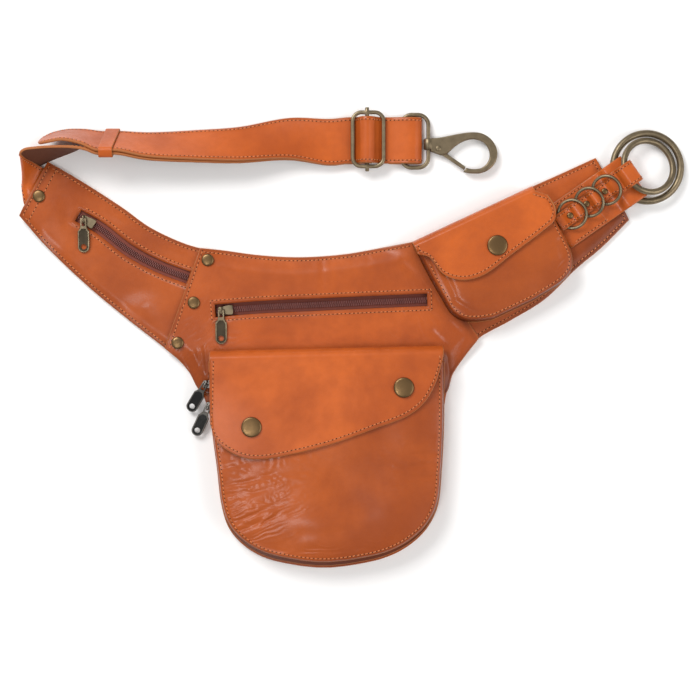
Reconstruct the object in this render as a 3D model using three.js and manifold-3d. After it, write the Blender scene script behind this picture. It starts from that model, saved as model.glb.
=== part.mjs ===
// Leather belt bag lying on its back: a curved yoke of two wings and a centre panel, a flapped main pouch
// of three nested shells, a flapped side pocket, a ring end, and an adjustable strap with a snap hook.
// Units are millimetres. +X runs along the belt, +Y towards the belt's upper edge, +Z out of the bag's front.
import * as THREE from 'three';
import { mergeVertices } from 'three/addons/utils/BufferGeometryUtils.js';
import Module from 'manifold-3d';

const wasm = await Module();
wasm.setup();

// Plan tables give places as [column, row] on a 700 x 700 plan seen from above;
// these values turn them into millimetres.
const MM_PER_STEP = 0.75;
const PLAN_MIDDLE = [351.85, 337.25];
const EYE_PLACE = [350, 350];
const EYE_HEIGHT = 1400;

// Leather thicknesses and the gap that is kept between neighbouring pieces
const PANEL = 1.6;
const STRIP = 1.3;
const STRAP = 2.0;
const GAP = 0.4;

// Heights of the middle of each layer above the surface that the bag lies on
const WING_EDGE = 2.8;
const WING_RISE = 1.2;
const CENTRE_EDGE = 5.6;
const STRAP_END = 3.1;

// Main pouch: three shells that share one outline. From its rim a shell climbs a steep wall, for a share of its
// rise, and then a crown over its shoulder
const POUCH_ROWS = [
  { row: 362, left: 209.5, right: 443.5 }, { row: 400, left: 211, right: 443.4 },
  { row: 430, left: 213, right: 443 }, { row: 470, left: 218, right: 441 },
  { row: 506, left: 222.5, right: 437 }, { row: 528, left: 230, right: 426 },
  { row: 545, left: 245, right: 408 }, { row: 557, left: 266, right: 384 },
  { row: 565.5, left: 303, right: 344 },
];
const POUCH_SHELLS = {
  rear_pocket: { rim: 2.8, crest: 8.4, foot: 10, wall: 1, share: 0, shoulder: 20, reach: 1 },
  middle_pocket: { rim: 4.8, crest: 15.6, foot: 8, wall: 1, share: 0, shoulder: 23, reach: 0.995 },
  front_pocket: { rim: 7.1, crest: 25, foot: 0.6, wall: 2.4, share: 0.58, shoulder: 32, reach: 0.982 },
};

// Side pocket: rows across its own tilted axis, measured from its snap
const SIDE_ORIGIN = [497, 245.6];
const SIDE_TILT = 25;
const SIDE_ROWS = [
  { row: -26, left: -76, right: 62 }, { row: 4, left: -75, right: 62.5 }, { row: 27, left: -73, right: 63.5 },
  { row: 42, left: -71, right: 62 }, { row: 53, left: -64, right: 56 }, { row: 60, left: -52, right: 44 },
  { row: 65, left: -36, right: 8 },
];
const SIDE_SHELL = { rim: 6, crest: 21.5, foot: 0.5, wall: 2.6, share: 0.66, shoulder: 22, reach: 1 };

// Plan to millimetres: a point at a height looks further out than it is
function spot(column, row, height = 0) {
  const shrink = 1 - height / EYE_HEIGHT;
  const c = EYE_PLACE[0] + (column - EYE_PLACE[0]) * shrink;
  const r = EYE_PLACE[1] + (row - EYE_PLACE[1]) * shrink;
  return new THREE.Vector3((c - PLAN_MIDDLE[0]) * MM_PER_STEP, (PLAN_MIDDLE[1] - r) * MM_PER_STEP, height);
}

// A plan with its own origin and tilt, such as the side pocket's and the ring end's
function tiltedPlan(origin, degrees) {
  const turn = THREE.MathUtils.degToRad(degrees);
  const [c, s] = [Math.cos(turn), Math.sin(turn)];
  return (along, across, height = 0) =>
    spot(origin[0] + along * c + across * s, origin[1] - along * s + across * c, height);
}

const sidePlan = tiltedPlan(SIDE_ORIGIN, SIDE_TILT);

// Smooth curve through plan points at one height
function planCurve(points, height = 0) {
  return new THREE.CatmullRomCurve3(points.map(([c, r]) => spot(c, r, height)), false, 'centripetal');
}

const smoothstep = (t) => THREE.MathUtils.smoothstep(t, 0, 1);
const mix = THREE.MathUtils.lerp;

// Solids and booleans
function solidOf(geometry) {
  const bare = geometry.clone();
  bare.deleteAttribute('normal');
  bare.deleteAttribute('uv');
  const merged = mergeVertices(bare, 1e-4);
  const vertProperties = new Float32Array(merged.attributes.position.array);
  const triVerts = new Uint32Array(merged.index.array);
  return new wasm.Manifold(new wasm.Mesh({ numProp: 3, vertProperties, triVerts }));
}

function geometryOf(solid) {
  const mesh = solid.getMesh();
  const geometry = new THREE.BufferGeometry();
  geometry.setAttribute('position', new THREE.BufferAttribute(new Float32Array(mesh.vertProperties), 3));
  geometry.setIndex(new THREE.BufferAttribute(new Uint32Array(mesh.triVerts), 1));
  return geometry;
}

const CUT_THROUGH = [-1, 40];
const cut = (geometry, ...tools) =>
  geometryOf(tools.reduce((solid, tool) => solid.subtract(solidOf(tool)), solidOf(geometry)));
const join = (geometry, ...others) =>
  geometryOf(others.reduce((solid, other) => solid.add(solidOf(other)), solidOf(geometry)));

// Closed wall of even thickness round a surface given by point(u, v)
function wall(point, uSteps, vSteps, thickness) {
  const us = typeof uSteps === 'number' ? Array.from({ length: uSteps + 1 }, (_, i) => i / uSteps) : uSteps;
  const vs = typeof vSteps === 'number' ? Array.from({ length: vSteps + 1 }, (_, i) => i / vSteps) : vSteps;
  const small = 1e-3;
  const normalAt = (u, v) => {
    const du = point(Math.min(u + small, 1), v).sub(point(Math.max(u - small, 0), v));
    const dv = point(u, Math.min(v + small, 1)).sub(point(u, Math.max(v - small, 0)));
    return du.cross(dv).normalize();
  };
  const positions = [];
  for (const side of [1, -1]) {
    for (const v of vs) {
      for (const u of us) {
        const p = point(u, v).addScaledVector(normalAt(u, v), (side * thickness) / 2);
        positions.push(p.x, p.y, p.z);
      }
    }
  }
  const columns = us.length;
  const rows = vs.length;
  const under = columns * rows;
  const index = [];
  const quad = (a, b, c, d) => index.push(a, b, c, a, c, d);
  for (let j = 0; j + 1 < rows; j += 1) {
    for (let i = 0; i + 1 < columns; i += 1) {
      const a = j * columns + i;
      quad(a, a + 1, a + 1 + columns, a + columns);
      quad(under + a, under + a + columns, under + a + 1 + columns, under + a + 1);
    }
  }
  for (let i = 0; i + 1 < columns; i += 1) {
    const last = (rows - 1) * columns + i;
    quad(i, under + i, under + i + 1, i + 1);
    quad(last, last + 1, under + last + 1, under + last);
  }
  for (let j = 0; j + 1 < rows; j += 1) {
    const a = j * columns;
    const b = a + columns - 1;
    quad(a, a + columns, under + a + columns, under + a);
    quad(b, under + b, under + b + columns, b + columns);
  }
  const geometry = new THREE.BufferGeometry();
  geometry.setAttribute('position', new THREE.Float32BufferAttribute(positions, 3));
  geometry.setIndex(index);
  return geometry;
}

// Flat plate between two heights from a closed outline of points
function plate(points, bottom, top) {
  const shape = new THREE.Shape(points.map((p) => new THREE.Vector2(p.x, p.y)));
  const geometry = new THREE.ExtrudeGeometry(shape, { depth: top - bottom, bevelEnabled: false });
  return geometry.translate(0, 0, bottom);
}

// Shells: a domed wall over an outline that is open at its top row, hollow behind
function shellForm(rows, plan, form) {
  const rowAt = (row) => rows[0].row + (row - rows[0].row) * form.reach;
  const side = (name) => rows.map((r) => plan(r[name], rowAt(r.row)));
  const [left, right] = [side('left'), side('right')];
  const outline = [...left, ...right.slice().reverse()];
  const leftCurve = new THREE.CatmullRomCurve3(left, false, 'centripetal');
  const rightCurve = new THREE.CatmullRomCurve3(right, false, 'centripetal');
  const nearest = new THREE.Vector3();
  const edgeDistance = (place) => {
    let best = Infinity;
    for (let i = 0; i + 1 < outline.length; i += 1) {
      new THREE.Line3(outline[i], outline[i + 1]).closestPointToPoint(place, true, nearest);
      best = Math.min(best, nearest.distanceTo(place));
    }
    return best;
  };
  const height = (x, y) => {
    const inward = edgeDistance(new THREE.Vector3(x, y, 0)) - form.foot;
    const crown = Math.sin((Math.PI / 2) * THREE.MathUtils.clamp(inward / form.shoulder, 0, 1));
    const climb = mix(crown, THREE.MathUtils.smoothstep(inward, 0, form.wall), form.share);
    return mix(form.rim, form.crest, climb);
  };
  const surface = (u, v) => {
    const place = leftCurve.getPoint(v).lerp(rightCurve.getPoint(v), 1 - u);
    return place.setZ(height(place.x, place.y));
  };
  return { outline, height, surface };
}

// Steps that crowd towards both ends, where a shell turns down to its rim
const crowded = (count) =>
  Array.from({ length: count + 1 }, (_, i) => 0.5 - 0.5 * Math.cos((Math.PI * i) / count));

// The same with one narrow step at both ends for a steep wall
const edged = (count, first) => [0, ...crowded(count).map((t) => mix(first, 1 - first, t)), 1];

const pouchShells = Object.fromEntries(
  Object.entries(POUCH_SHELLS).map(([name, form]) => [name, shellForm(POUCH_ROWS, spot, form)]),
);
const sideShell = shellForm(SIDE_ROWS, sidePlan, SIDE_SHELL);

// Yoke outlines, from the strap end round the tongue behind the pouch to the ring end and back
const LEFT_LOWER = [[21, 216], [50, 249], [90, 287], [130, 320], [166, 348]];
const NECK_LEFT = [[166, 348], [180, 360], [190, 372], [202, 392], [210, 415]];
const TONGUE = POUCH_ROWS.slice(2);
const NECK_RIGHT = [[443.4, 410], [448, 386], [454, 371], [466, 354], [478, 338]];
const RIGHT_LOWER = [[478, 338], [510, 320], [544, 299], [576, 268], [600, 248], [628, 220]];
const RIGHT_UPPER = [[595, 159], [560, 175], [531, 188], [480, 213], [440, 231], [412, 243]];
const CENTRE_UPPER = [[412, 243], [385, 248], [345, 255], [300, 258], [260, 256], [222, 251], [201, 249]];
const LEFT_UPPER = [[201, 249], [184, 244], [150, 228], [122, 208], [80, 181], [49, 163]];
const EDGE_STEPS = 5;

const sampled = (table) => planCurve(table).getPoints(EDGE_STEPS);
const BACK_OUTLINE = [
  ...sampled(LEFT_LOWER),
  ...sampled(NECK_LEFT),
  ...planCurve(TONGUE.map((r) => [r.left, r.row])).getPoints(2 * EDGE_STEPS),
  ...planCurve(TONGUE.map((r) => [r.right, r.row]).reverse()).getPoints(2 * EDGE_STEPS),
  ...[NECK_RIGHT, RIGHT_LOWER, RIGHT_UPPER, CENTRE_UPPER, LEFT_UPPER].flatMap(sampled),
].filter((p, i, all) => p.distanceTo(all[(i + 1) % all.length]) > GAP);

// Panels between a lower and an upper edge, raised away from their sewn edges
function panel(lowerTable, upperTable, height, uSteps, vSteps) {
  const lower = planCurve(lowerTable);
  const upper = planCurve(upperTable);
  const surface = (u, v) => {
    const low = lower.getPoint(u);
    const high = upper.getPoint(u);
    const inward = Math.min(v, 1 - v) * low.distanceTo(high);
    return low.lerp(high, v).setZ(height(u, inward));
  };
  return { surface, geometry: wall(surface, uSteps, vSteps, PANEL) };
}

const STRAP_LIFT = 2.5;
const WING_ROLL = 8;
const LIFT_END = { from: 0.12, over: 0.14 };
const rightWingHeight = (u, inward) => WING_EDGE + WING_RISE * smoothstep(inward / WING_ROLL);
const wingHeight = (u, inward) =>
  rightWingHeight(u, inward) + STRAP_LIFT * (1 - smoothstep((u - LIFT_END.from) / LIFT_END.over));
const CENTRE_TOP = 6.6;
const CENTRE_ROLL = 14;
const SEAM_SHARE = 0.2;
const centreHeight = (u, inward) => {
  const nearSeam = 1 - smoothstep(Math.min(u, 1 - u) / SEAM_SHARE);
  const edge = mix(WING_EDGE, CENTRE_EDGE + GAP, nearSeam);
  return mix(edge, CENTRE_TOP, smoothstep(inward / CENTRE_ROLL));
};

const leftWing = panel(
  [...LEFT_LOWER, [174, 355]],
  [...LEFT_UPPER.slice().reverse(), [208, 250]],
  wingHeight, 13, 6,
);
const rightWing = panel(
  [[469, 349], ...RIGHT_LOWER],
  [[402, 245], ...RIGHT_UPPER.slice().reverse()],
  rightWingHeight, 10, 5,
);
const CENTRE_LOWER = [
  [166, 348], [180, 360], [190, 372], [203, 392], [240, 394], [322, 394],
  [410, 394], [444, 394], [452, 374], [464, 356], [478, 338],
];
const CENTRE_TOP_EDGE = [[201, 249], [222, 251], [260, 256], [300, 258], [345, 255], [385, 248], [412, 243]];
const centrePanel = panel(CENTRE_LOWER, CENTRE_TOP_EDGE, centreHeight, 15, 6);

// Footprints that are cut out of the centre panel where a pocket stands in its place
const FOOTPRINT_GROWTH = 1.012;
function footprint(outline) {
  const middle = outline.reduce((sum, p) => sum.add(p), new THREE.Vector3()).divideScalar(outline.length);
  const grown = outline.map((p) => p.clone().sub(middle).multiplyScalar(FOOTPRINT_GROWTH).add(middle));
  return plate(grown, ...CUT_THROUGH);
}

// Zips: a window cut through the panel, a tape with its toothed ridge behind, a slider and a pull
const ZIP_WINDOW = 9.4;
const RIDGE = 4.4;
const TAPE = 0.8;
const ZIPS = {
  left: { path: [[79, 216], [100, 228], [130, 251], [160, 267], [189, 278]], tape: 17, low: 1.9, high: 4.3 },
  centre: {
    path: [[216, 311], [260, 307.5], [320, 304.7], [380, 302], [427, 300]],
    tape: 17, low: 1.9, high: 4.3,
  },
  upper: { path: [[214.5, 379], [214.5, 384], [214.6, 389]], tape: 8, low: 4.6, high: 7.2 },
  lower: { path: [[216, 400], [216, 405], [216.1, 409]], tape: 8, low: 2, high: 4.6 },
};

// Band of even width along a plan curve, longer than it by a margin at both ends
function band(path, width, margin, bottom, top) {
  const curve = planCurve(path);
  const points = curve.getPoints(2 * path.length);
  const sides = { left: [], right: [] };
  points.forEach((p, i) => {
    const along = curve.getTangent(i / (points.length - 1)).normalize();
    const across = new THREE.Vector3(-along.y, along.x, 0).multiplyScalar(width / 2);
    const end = i === 0 ? -margin : i === points.length - 1 ? margin : 0;
    const place = p.clone().addScaledVector(along, end);
    sides.left.push(place.clone().add(across));
    sides.right.push(place.clone().sub(across));
  });
  return plate([...sides.right, ...sides.left.reverse()], bottom, top);
}

const zipWindow = (zip) => band(zip.path, ZIP_WINDOW, 0, ...CUT_THROUGH);
const TAPE_MARGIN = 4;
const SHORT_MARGIN = 1;
function zipTape(zip) {
  const margin = zip.tape > ZIP_WINDOW ? TAPE_MARGIN : SHORT_MARGIN;
  const tape = band(zip.path, zip.tape, margin, zip.low, zip.low + TAPE);
  const ridge = band(zip.path, RIDGE, -GAP, zip.low, zip.high);
  return join(tape, ridge);
}

// Box given by its middle and size
const block = (x, y, z, dx, dy, dz) => new THREE.BoxGeometry(dx, dy, dz).translate(x, y, z);

// Zip slider in its own frame: a body under an arch that runs along Y over the pull's head at the origin
const SLIDER = { length: 11, width: 7.6, thick: 2.2, top: -2.2, reach: 2.7, post: 1, beam: 1.9, broad: 1.2 };
function zipSlider(bodyTurn, bodyX, bodyY) {
  const body = block(0, 0, 0, SLIDER.length, SLIDER.width, SLIDER.thick)
    .rotateZ(bodyTurn)
    .translate(bodyX, bodyY, SLIDER.top - SLIDER.thick / 2);
  const crown = SLIDER.beam + SLIDER.post / 2;
  const footing = SLIDER.top - SLIDER.thick / 2;
  const posts = [-1, 1].map((side) =>
    block(0, side * SLIDER.reach, (crown + footing) / 2, SLIDER.broad, SLIDER.post, crown - footing));
  const beam = block(0, 0, SLIDER.beam, SLIDER.broad, 2 * SLIDER.reach, SLIDER.post);
  return join(body, ...posts, beam);
}

// Zip pull: a head whose end bar turns under the arch, and a wider tab with a round hole at its end
const PULL = {
  length: 25, width: 8.6, thick: 1.4, head: 4.8, end: 0.8, eye: 2.5, eyeEnd: 5, neck: 1, flare: 3,
  hole: 2.1, inset: 4.4,
};
function zipPull() {
  const half = PULL.width / 2;
  const neck = PULL.head / 2;
  const shoulder = PULL.eyeEnd + PULL.neck;
  const shape = new THREE.Shape();
  shape.moveTo(-neck, PULL.end);
  shape.lineTo(-neck, -shoulder);
  shape.lineTo(-half, -shoulder - PULL.flare);
  shape.lineTo(-half, -PULL.length + half);
  shape.absarc(0, -PULL.length + half, half, Math.PI, 2 * Math.PI, false);
  shape.lineTo(half, -shoulder - PULL.flare);
  shape.lineTo(neck, -shoulder);
  shape.lineTo(neck, PULL.end);
  const eye = new THREE.Path();
  eye.moveTo(-PULL.eye / 2, -PULL.eyeEnd);
  eye.lineTo(-PULL.eye / 2, -PULL.end);
  eye.lineTo(PULL.eye / 2, -PULL.end);
  eye.lineTo(PULL.eye / 2, -PULL.eyeEnd);
  const hole = new THREE.Path();
  hole.absarc(0, -PULL.length + PULL.inset, PULL.hole, 0, 2 * Math.PI, true);
  shape.holes.push(eye, hole);
  const options = { depth: PULL.thick, bevelEnabled: false, curveSegments: 4 };
  return new THREE.ExtrudeGeometry(shape, options).translate(0, 0, -PULL.thick / 2);
}

// Rivets and snaps: a domed cap over the leather, a shank through it and, on snaps, a disc behind
const CAP = { lip: 0.9, clear: 0.35, flat: 0.7, disc: 1 };
function capped({ cap, rise, shank, depth, disc = 0, sides = 8 }) {
  const profile = [[0, -depth], [shank, -depth]];
  if (disc > 0) {
    profile.splice(0, 2, [0, -depth - CAP.disc], [disc, -depth - CAP.disc], [disc, -depth], [shank, -depth]);
  }
  const shoulder = [cap * CAP.flat, mix(CAP.lip, rise, CAP.flat)];
  profile.push([shank, CAP.clear], [cap, CAP.clear], [cap, CAP.lip], shoulder, [0, rise]);
  const geometry = new THREE.LatheGeometry(profile.map(([r, z]) => new THREE.Vector2(r, z)), sides);
  return geometry.rotateX(Math.PI / 2);
}

const drill = (place, radius) =>
  new THREE.CylinderGeometry(radius, radius, 2 * CUT_THROUGH[1], 10)
    .rotateX(Math.PI / 2)
    .translate(place.x, place.y, 0);
const HOLE_CLEARANCE = 0.35;

// Flaps: sewn on behind, up and over a fold, then lying on the shell in front of them
const FLAP_LIE = PANEL + 1.6 * GAP;
const FLAP_DROOP = 0.72;
const FOLD_SHARE = 0.35;
function flap(plan, shell, form, { root, fold, depth, lower, uSteps, vSteps }) {
  const lowerPoints = lower.map(([c, r]) => plan(c, r, form.crest));
  const lowerCurve = new THREE.CatmullRomCurve3(lowerPoints, false, 'centripetal');
  const lying = (x, y) => {
    const under = shell.height(x, y);
    return under + FLAP_LIE + FLAP_DROOP * (form.crest - under);
  };
  const surface = (u, v) => {
    const column = mix(fold.left[0], fold.right[0], u);
    const middleRow = mix(fold.left[1], fold.right[1], u) + depth;
    const over = plan(column, middleRow, form.crest);
    over.z = lying(over.x, over.y);
    if (v < FOLD_SHARE) {
      const turn = Math.PI * (v / FOLD_SHARE - 0.5);
      const place = plan(column, middleRow - depth * Math.cos(turn), form.crest);
      return place.setZ(mix(root, over.z, 0.5 + 0.5 * Math.sin(turn)));
    }
    const place = over.lerp(lowerCurve.getPointAt(u), (v - FOLD_SHARE) / (1 - FOLD_SHARE));
    return place.setZ(lying(place.x, place.y));
  };
  return { geometry: wall(surface, uSteps, vSteps, PANEL), lying };
}

const pouchFlap = flap(spot, pouchShells.front_pocket, POUCH_SHELLS.front_pocket, {
  root: 8.8,
  fold: { left: [210, 352], right: [443, 346.5] },
  depth: 8,
  lower: [
    [211, 424], [217, 440], [230, 451], [246, 457.5], [262, 458.5], [290, 454], [330, 444],
    [372, 429], [408, 415], [424, 402], [435, 383], [442, 360],
  ],
  uSteps: 12, vSteps: 9,
});
const sideFlap = flap(sidePlan, sideShell, SIDE_SHELL, {
  root: 8.4,
  fold: { left: [-75, -38.5], right: [57, -38.5] },
  depth: 6,
  lower: [
    [-75, -26], [-66, -18], [-61, 2], [-54, 11], [-42, 18], [-24, 20.5], [13, 13], [50, 5],
    [62, 1], [68, -9], [67, -24],
  ],
  uSteps: 12, vSteps: 9,
});

// Straps: each row holds the place of both edges, [column, row, height], along the strap
function edgedRibbon(rows, thickness, stepsPerRow) {
  const place = ([column, row, height]) => spot(column, row).setZ(height);
  const edge = (name) => new THREE.CatmullRomCurve3(rows.map((r) => place(r[name])), false, 'centripetal');
  const [one, two] = [edge('one'), edge('two')];
  const surface = (u, v) => one.getPoint(v).lerp(two.getPoint(v), u);
  return wall(surface, 1, (rows.length - 1) * stepsPerRow, thickness);
}

// The flat stretch of a strap, given only by where it goes along and how high
const STRAP_NORTH = 119;
const STRAP_SOUTH = 163.8;
const flatRows = (pairs) =>
  pairs.map(([c, z]) => ({ one: [c, STRAP_NORTH, z], two: [c, STRAP_SOUTH, z] }));

const BAG_STRAP = [
  { one: [47, 214, STRAP_END], two: [62, 176, STRAP_END] },
  { one: [36, 210.4, STRAP_END], two: [52, 172.4, STRAP_END] }, { one: [27, 207, 2.9], two: [43.5, 169, 4] },
  { one: [24, 196, 1.8], two: [35, 164, 12] }, { one: [23.5, 186, 1.5], two: [29.5, 161, 26] },
  { one: [26, 177, 1.5], two: [28, 157, 32] }, { one: [33, 169, 1.5], two: [32, 154, 33] },
  { one: [42, 164.4, 1.5], two: [42, 152.6, 34] }, { one: [52, 159.6, 1.5], two: [55, 151.6, 34] },
  { one: [77, 149.5, 1.6], two: [78, 151.8, 34.5] }, { one: [90, 142.5, 2.2], two: [91, 154, 34.5] },
  { one: [103, 136.2, 3.8], two: [103, 158.2, 32.4] }, { one: [122, 136.2, 3.8], two: [122, 158.2, 32.4] },
  { one: [150, 136.8, 2], two: [150, 162.8, 27.8] }, { one: [200, 133.9, 1.6], two: [200, 164.8, 24.1] },
  { one: [240, 130.6, 1.6], two: [240, 165.1, 20.9] }, { one: [290, 120.6, 1.7], two: [290, 161.1, 11.5] },
  { one: [330, 120.6, 3], two: [330, 165.7, 5] },
  ...flatRows([
    [348, 3.9], [353, 4], [357, 5], [361.5, 8.4], [364.4, 11.8], [367, 12.6], [369.6, 11.8],
    [370.7, 9.8], [369.6, 7.8], [367, 7], [362, 4.6], [356.5, 2.2], [350, 1.5], [338, 1.5],
  ]),
];
const HOOK_STRAP = [
  { one: [43.5, 143, 16], two: [43.5, 146, 21] }, { one: [46, 139.5, 10], two: [46, 147, 26] },
  { one: [54, 134.5, 5.5], two: [54, 146.5, 31] }, { one: [68, 131, 3.6], two: [68, 144.5, 33.4] },
  { one: [86, 130.8, 3.6], two: [86, 148, 33.8] }, { one: [103, 133, 5], two: [103, 155, 33.7] },
  { one: [122, 133, 5], two: [122, 155, 33.7] }, { one: [150, 134, 3.6], two: [150, 160, 29.4] },
  { one: [200, 131.5, 3.6], two: [200, 162.4, 26] }, { one: [240, 128.5, 3.7], two: [240, 163, 23] },
  { one: [290, 119.5, 4.2], two: [290, 160, 14] }, { one: [330, 120.5, 5.6], two: [330, 165.5, 7.6] },
  ...flatRows([
    [348, 6.4], [353, 6.5], [357.5, 8], [359.8, 10.8], [362.1, 13.5], [367, 15], [371.9, 13.5], [375.5, 10],
    [379.5, 7.4], [384, 6.5], [392, 6.6], [401, 7.8], [411, 8.6], [417, 7.6], [420.3, 4.8], [417.5, 2],
    [411, 1.5], [400, 1.5], [389, 1.5],
  ]),
];

// Keeper: a rounded band round both layers of the strap, leaning as they do
const KEEPER = {
  place: [112.5, 145.6], height: 18.75, lean: 60, long: 34.6, deep: 5.8, wall: 1.3, width: 10.5,
};
function roundedOblong(path, long, deep, radius) {
  const [x, y] = [long / 2, deep / 2];
  path.moveTo(-x + radius, -y);
  path.lineTo(x - radius, -y);
  path.absarc(x - radius, -y + radius, radius, -Math.PI / 2, 0);
  path.lineTo(x, y - radius);
  path.absarc(x - radius, y - radius, radius, 0, Math.PI / 2);
  path.lineTo(-x + radius, y);
  path.absarc(-x + radius, y - radius, radius, Math.PI / 2, Math.PI);
  path.lineTo(-x, -y + radius);
  path.absarc(-x + radius, -y + radius, radius, Math.PI, 1.5 * Math.PI);
  return path;
}

function frameBand(long, deep, radius, thickness, depth, options = {}) {
  const [outerLong, outerDeep] = [long + 2 * thickness, deep + 2 * thickness];
  const shape = roundedOblong(new THREE.Shape(), outerLong, outerDeep, radius + thickness);
  shape.holes.push(roundedOblong(new THREE.Path(), long, deep, radius));
  const settings = { depth, bevelEnabled: false, curveSegments: 2, ...options };
  return new THREE.ExtrudeGeometry(shape, settings).translate(0, 0, -depth / 2);
}

function strapKeeper() {
  const lean = THREE.MathUtils.degToRad(KEEPER.lean);
  const across = new THREE.Vector3(0, -Math.cos(lean), Math.sin(lean));
  const outward = new THREE.Vector3(0, Math.sin(lean), Math.cos(lean));
  const basis = new THREE.Matrix4().makeBasis(across, outward, across.clone().cross(outward));
  const middle = spot(...KEEPER.place).setZ(KEEPER.height);
  const band = frameBand(KEEPER.long, KEEPER.deep, 1, KEEPER.wall, KEEPER.width);
  return band.applyMatrix4(basis.setPosition(middle));
}

// Ring end: a wide strip folded round the outer ring, and a narrow one threaded through the small rings
const RING_TILT = 35;
const RING_BIG = 30;
const ringPlan = tiltedPlan([606, 191], RING_TILT);
const WIDE_STRIP = { from: -20, to: 26.3 };
const WIDE_PATH = [
  [-55, 5.75], [-20, 5.75], [8, 5.75], [20, 4.4], [26.8, 5.2], [29, 8.6], [27, 11.5], [22, 12.15],
  [9, 12.15], [6, 11.2], [2, 8.4], [-2, 7.4], [-10, 7.35], [-18, 7.35],
];
const NARROW_STRIP = { middle: -0.6, slim: 8.3, full: 11.2, growFrom: 4, growTo: 11 };
const NARROW_PATH = [
  [-59.5, 9.9], [-57, 10.3], [-53, 10.4], [-50, 8.4], [-48, 7.4], [-44.5, 7.35], [-41.5, 8.1], [-38.4, 10.3],
  [-32.4, 10.8], [-29.6, 8.6], [-28.2, 7.5], [-25, 7.4], [-22, 7.7], [-20, 9.6], [-17.8, 12.5], [-12.2, 13.1],
  [-9, 10.4], [-7.4, 9.4], [-3.5, 9.3], [1, 10.1], [5, 12.8], [8.5, 14.5], [11.5, 15.5], [14.4, 15.8],
  [17, 19.6], [20, 21.8], [26.6, 21.6], [31.6, 19], [32.4, 16.4], [29.6, 14.2], [24, 13.9], [10.5, 13.9],
];
function stripWall(path, edges, steps) {
  const points = path.map(([along, height]) => new THREE.Vector3(along, 0, height));
  const spine = new THREE.CatmullRomCurve3(points, false, 'centripetal');
  const surface = (u, v) => {
    const p = spine.getPoint(v);
    const [from, to] = edges(p.x);
    return ringPlan(p.x, mix(from, to, u)).setZ(p.z);
  };
  return wall(surface, 1, steps, STRIP);
}

const wideStrip = () =>
  stripWall(WIDE_PATH, () => [WIDE_STRIP.from, WIDE_STRIP.to], 2 * (WIDE_PATH.length - 1));
function narrowStrip() {
  const { middle, slim, full, growFrom, growTo } = NARROW_STRIP;
  const half = (a) => mix(slim, full, smoothstep((a - growFrom) / (growTo - growFrom)));
  return stripWall(NARROW_PATH, (a) => [middle - half(a), middle + half(a)], 2 * (NARROW_PATH.length - 1));
}

// Rings: place of the middle along and across the ring end, size, and how high the held and the free side lie
const RINGS = {
  outer_ring: { along: 45.5, across: 4, outside: 56, wire: 5.2, held: 8.6, free: 5.2 },
  inner_ring: { along: 46.2, across: 4, outside: 44.2, wire: 4.6, held: 18.3, free: 4.6 },
  small_ring_1: { along: -2, across: -0.6, outside: 23.5, wire: 2.3, held: 9.3, free: 17.8 },
  small_ring_2: { along: -22.5, across: -0.6, outside: 23.5, wire: 2.3, held: 7.55, free: 16.1 },
  small_ring_3: { along: -43, across: -0.6, outside: 23.5, wire: 2.3, held: 7.6, free: 13.8 },
};
const RING_RIVETS = { tab_rivet_1: [-3.6, 10.3], tab_rivet_2: [-25, 8.4], tab_rivet_3: [-45, 8.3] };
function ring({ along, across, outside, wire, held, free }) {
  const radius = (outside - wire) / 2;
  const sides = outside > RING_BIG ? [8, 22] : [6, 16];
  const geometry = new THREE.TorusGeometry(radius, wire / 2, ...sides);
  const dip = Math.asin((free - held) / (2 * radius));
  geometry.rotateY(-dip).rotateZ(THREE.MathUtils.degToRad(RING_TILT));
  const middle = ringPlan(along, across).setZ((held + free) / 2);
  return geometry.translate(middle.x, middle.y, middle.z);
}

// Strap slider: a bevelled frame and the pin across it, in one piece
const BUCKLE = {
  place: [368, 140.8], height: 9.8, long: 37.2, deep: 20, corner: 5, wire: 3,
  pinColumn: 367, pin: 3, pinEnds: 4.5,
};
const BEVEL = { bevelEnabled: true, bevelThickness: 0.7, bevelSize: 0.7, bevelOffset: -0.7, bevelSegments: 1 };
function bevelledFrame({ place, height, long, deep, corner, wire }) {
  const depth = wire - 2 * BEVEL.bevelThickness;
  const frame = frameBand(long, deep, corner, wire, depth, BEVEL);
  const middle = spot(...place);
  return frame.rotateZ(Math.PI / 2).translate(middle.x, middle.y, height);
}

function strapSlider() {
  const length = BUCKLE.long + 2 * BUCKLE.wire + BUCKLE.pinEnds;
  const middle = spot(BUCKLE.pinColumn, BUCKLE.place[1]);
  const pin = new THREE.CylinderGeometry(BUCKLE.pin / 2, BUCKLE.pin / 2, length, 10)
    .translate(middle.x, middle.y, BUCKLE.height);
  return join(bevelledFrame(BUCKLE), pin);
}

// Snap hook: an oblong eye in the strap's fold, a flat cast body that swings on it and a sprung gate
const EYE = { place: [414.7, 142], height: 4.6, long: 36.5, deep: 17, corner: 6, wire: 3 };
const EYE_BAR_COLUMN = 428;
const HOOK = {
  thick: 5, barrel: 7, bore: 4, barrelFrom: 139.5, barrelTo: 150.5,
  gate: 2, slot: 2.8, pivot: 2.6, pinHeads: 0.8,
};
const HOOK_PIVOT = [438, 149.4];
const HOOK_OUTER = [
  [430, 139.2], [440, 138.4], [455, 135.4], [470, 133.2], [481, 134.2], [490, 139.6], [495.6, 148],
  [496.8, 156], [494, 164.6], [488, 170.6], [480, 173.8], [470, 174], [463, 172.6],
];
const HOOK_INNER = [
  [465.6, 168.6], [472, 169.8], [480, 169], [486, 164.6], [489.2, 157], [487.6, 149], [482, 142.6],
  [473, 140], [464, 141.8], [455, 147], [447, 154.4],
];
const HOOK_CHEEK = [[441, 156], [435, 154], [430, 152]];
const HOOK_SLOT = [[431.6, 146], [437, 142], [449, 146.5], [470, 166], [467, 176], [440, 162], [430, 153]];
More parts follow.
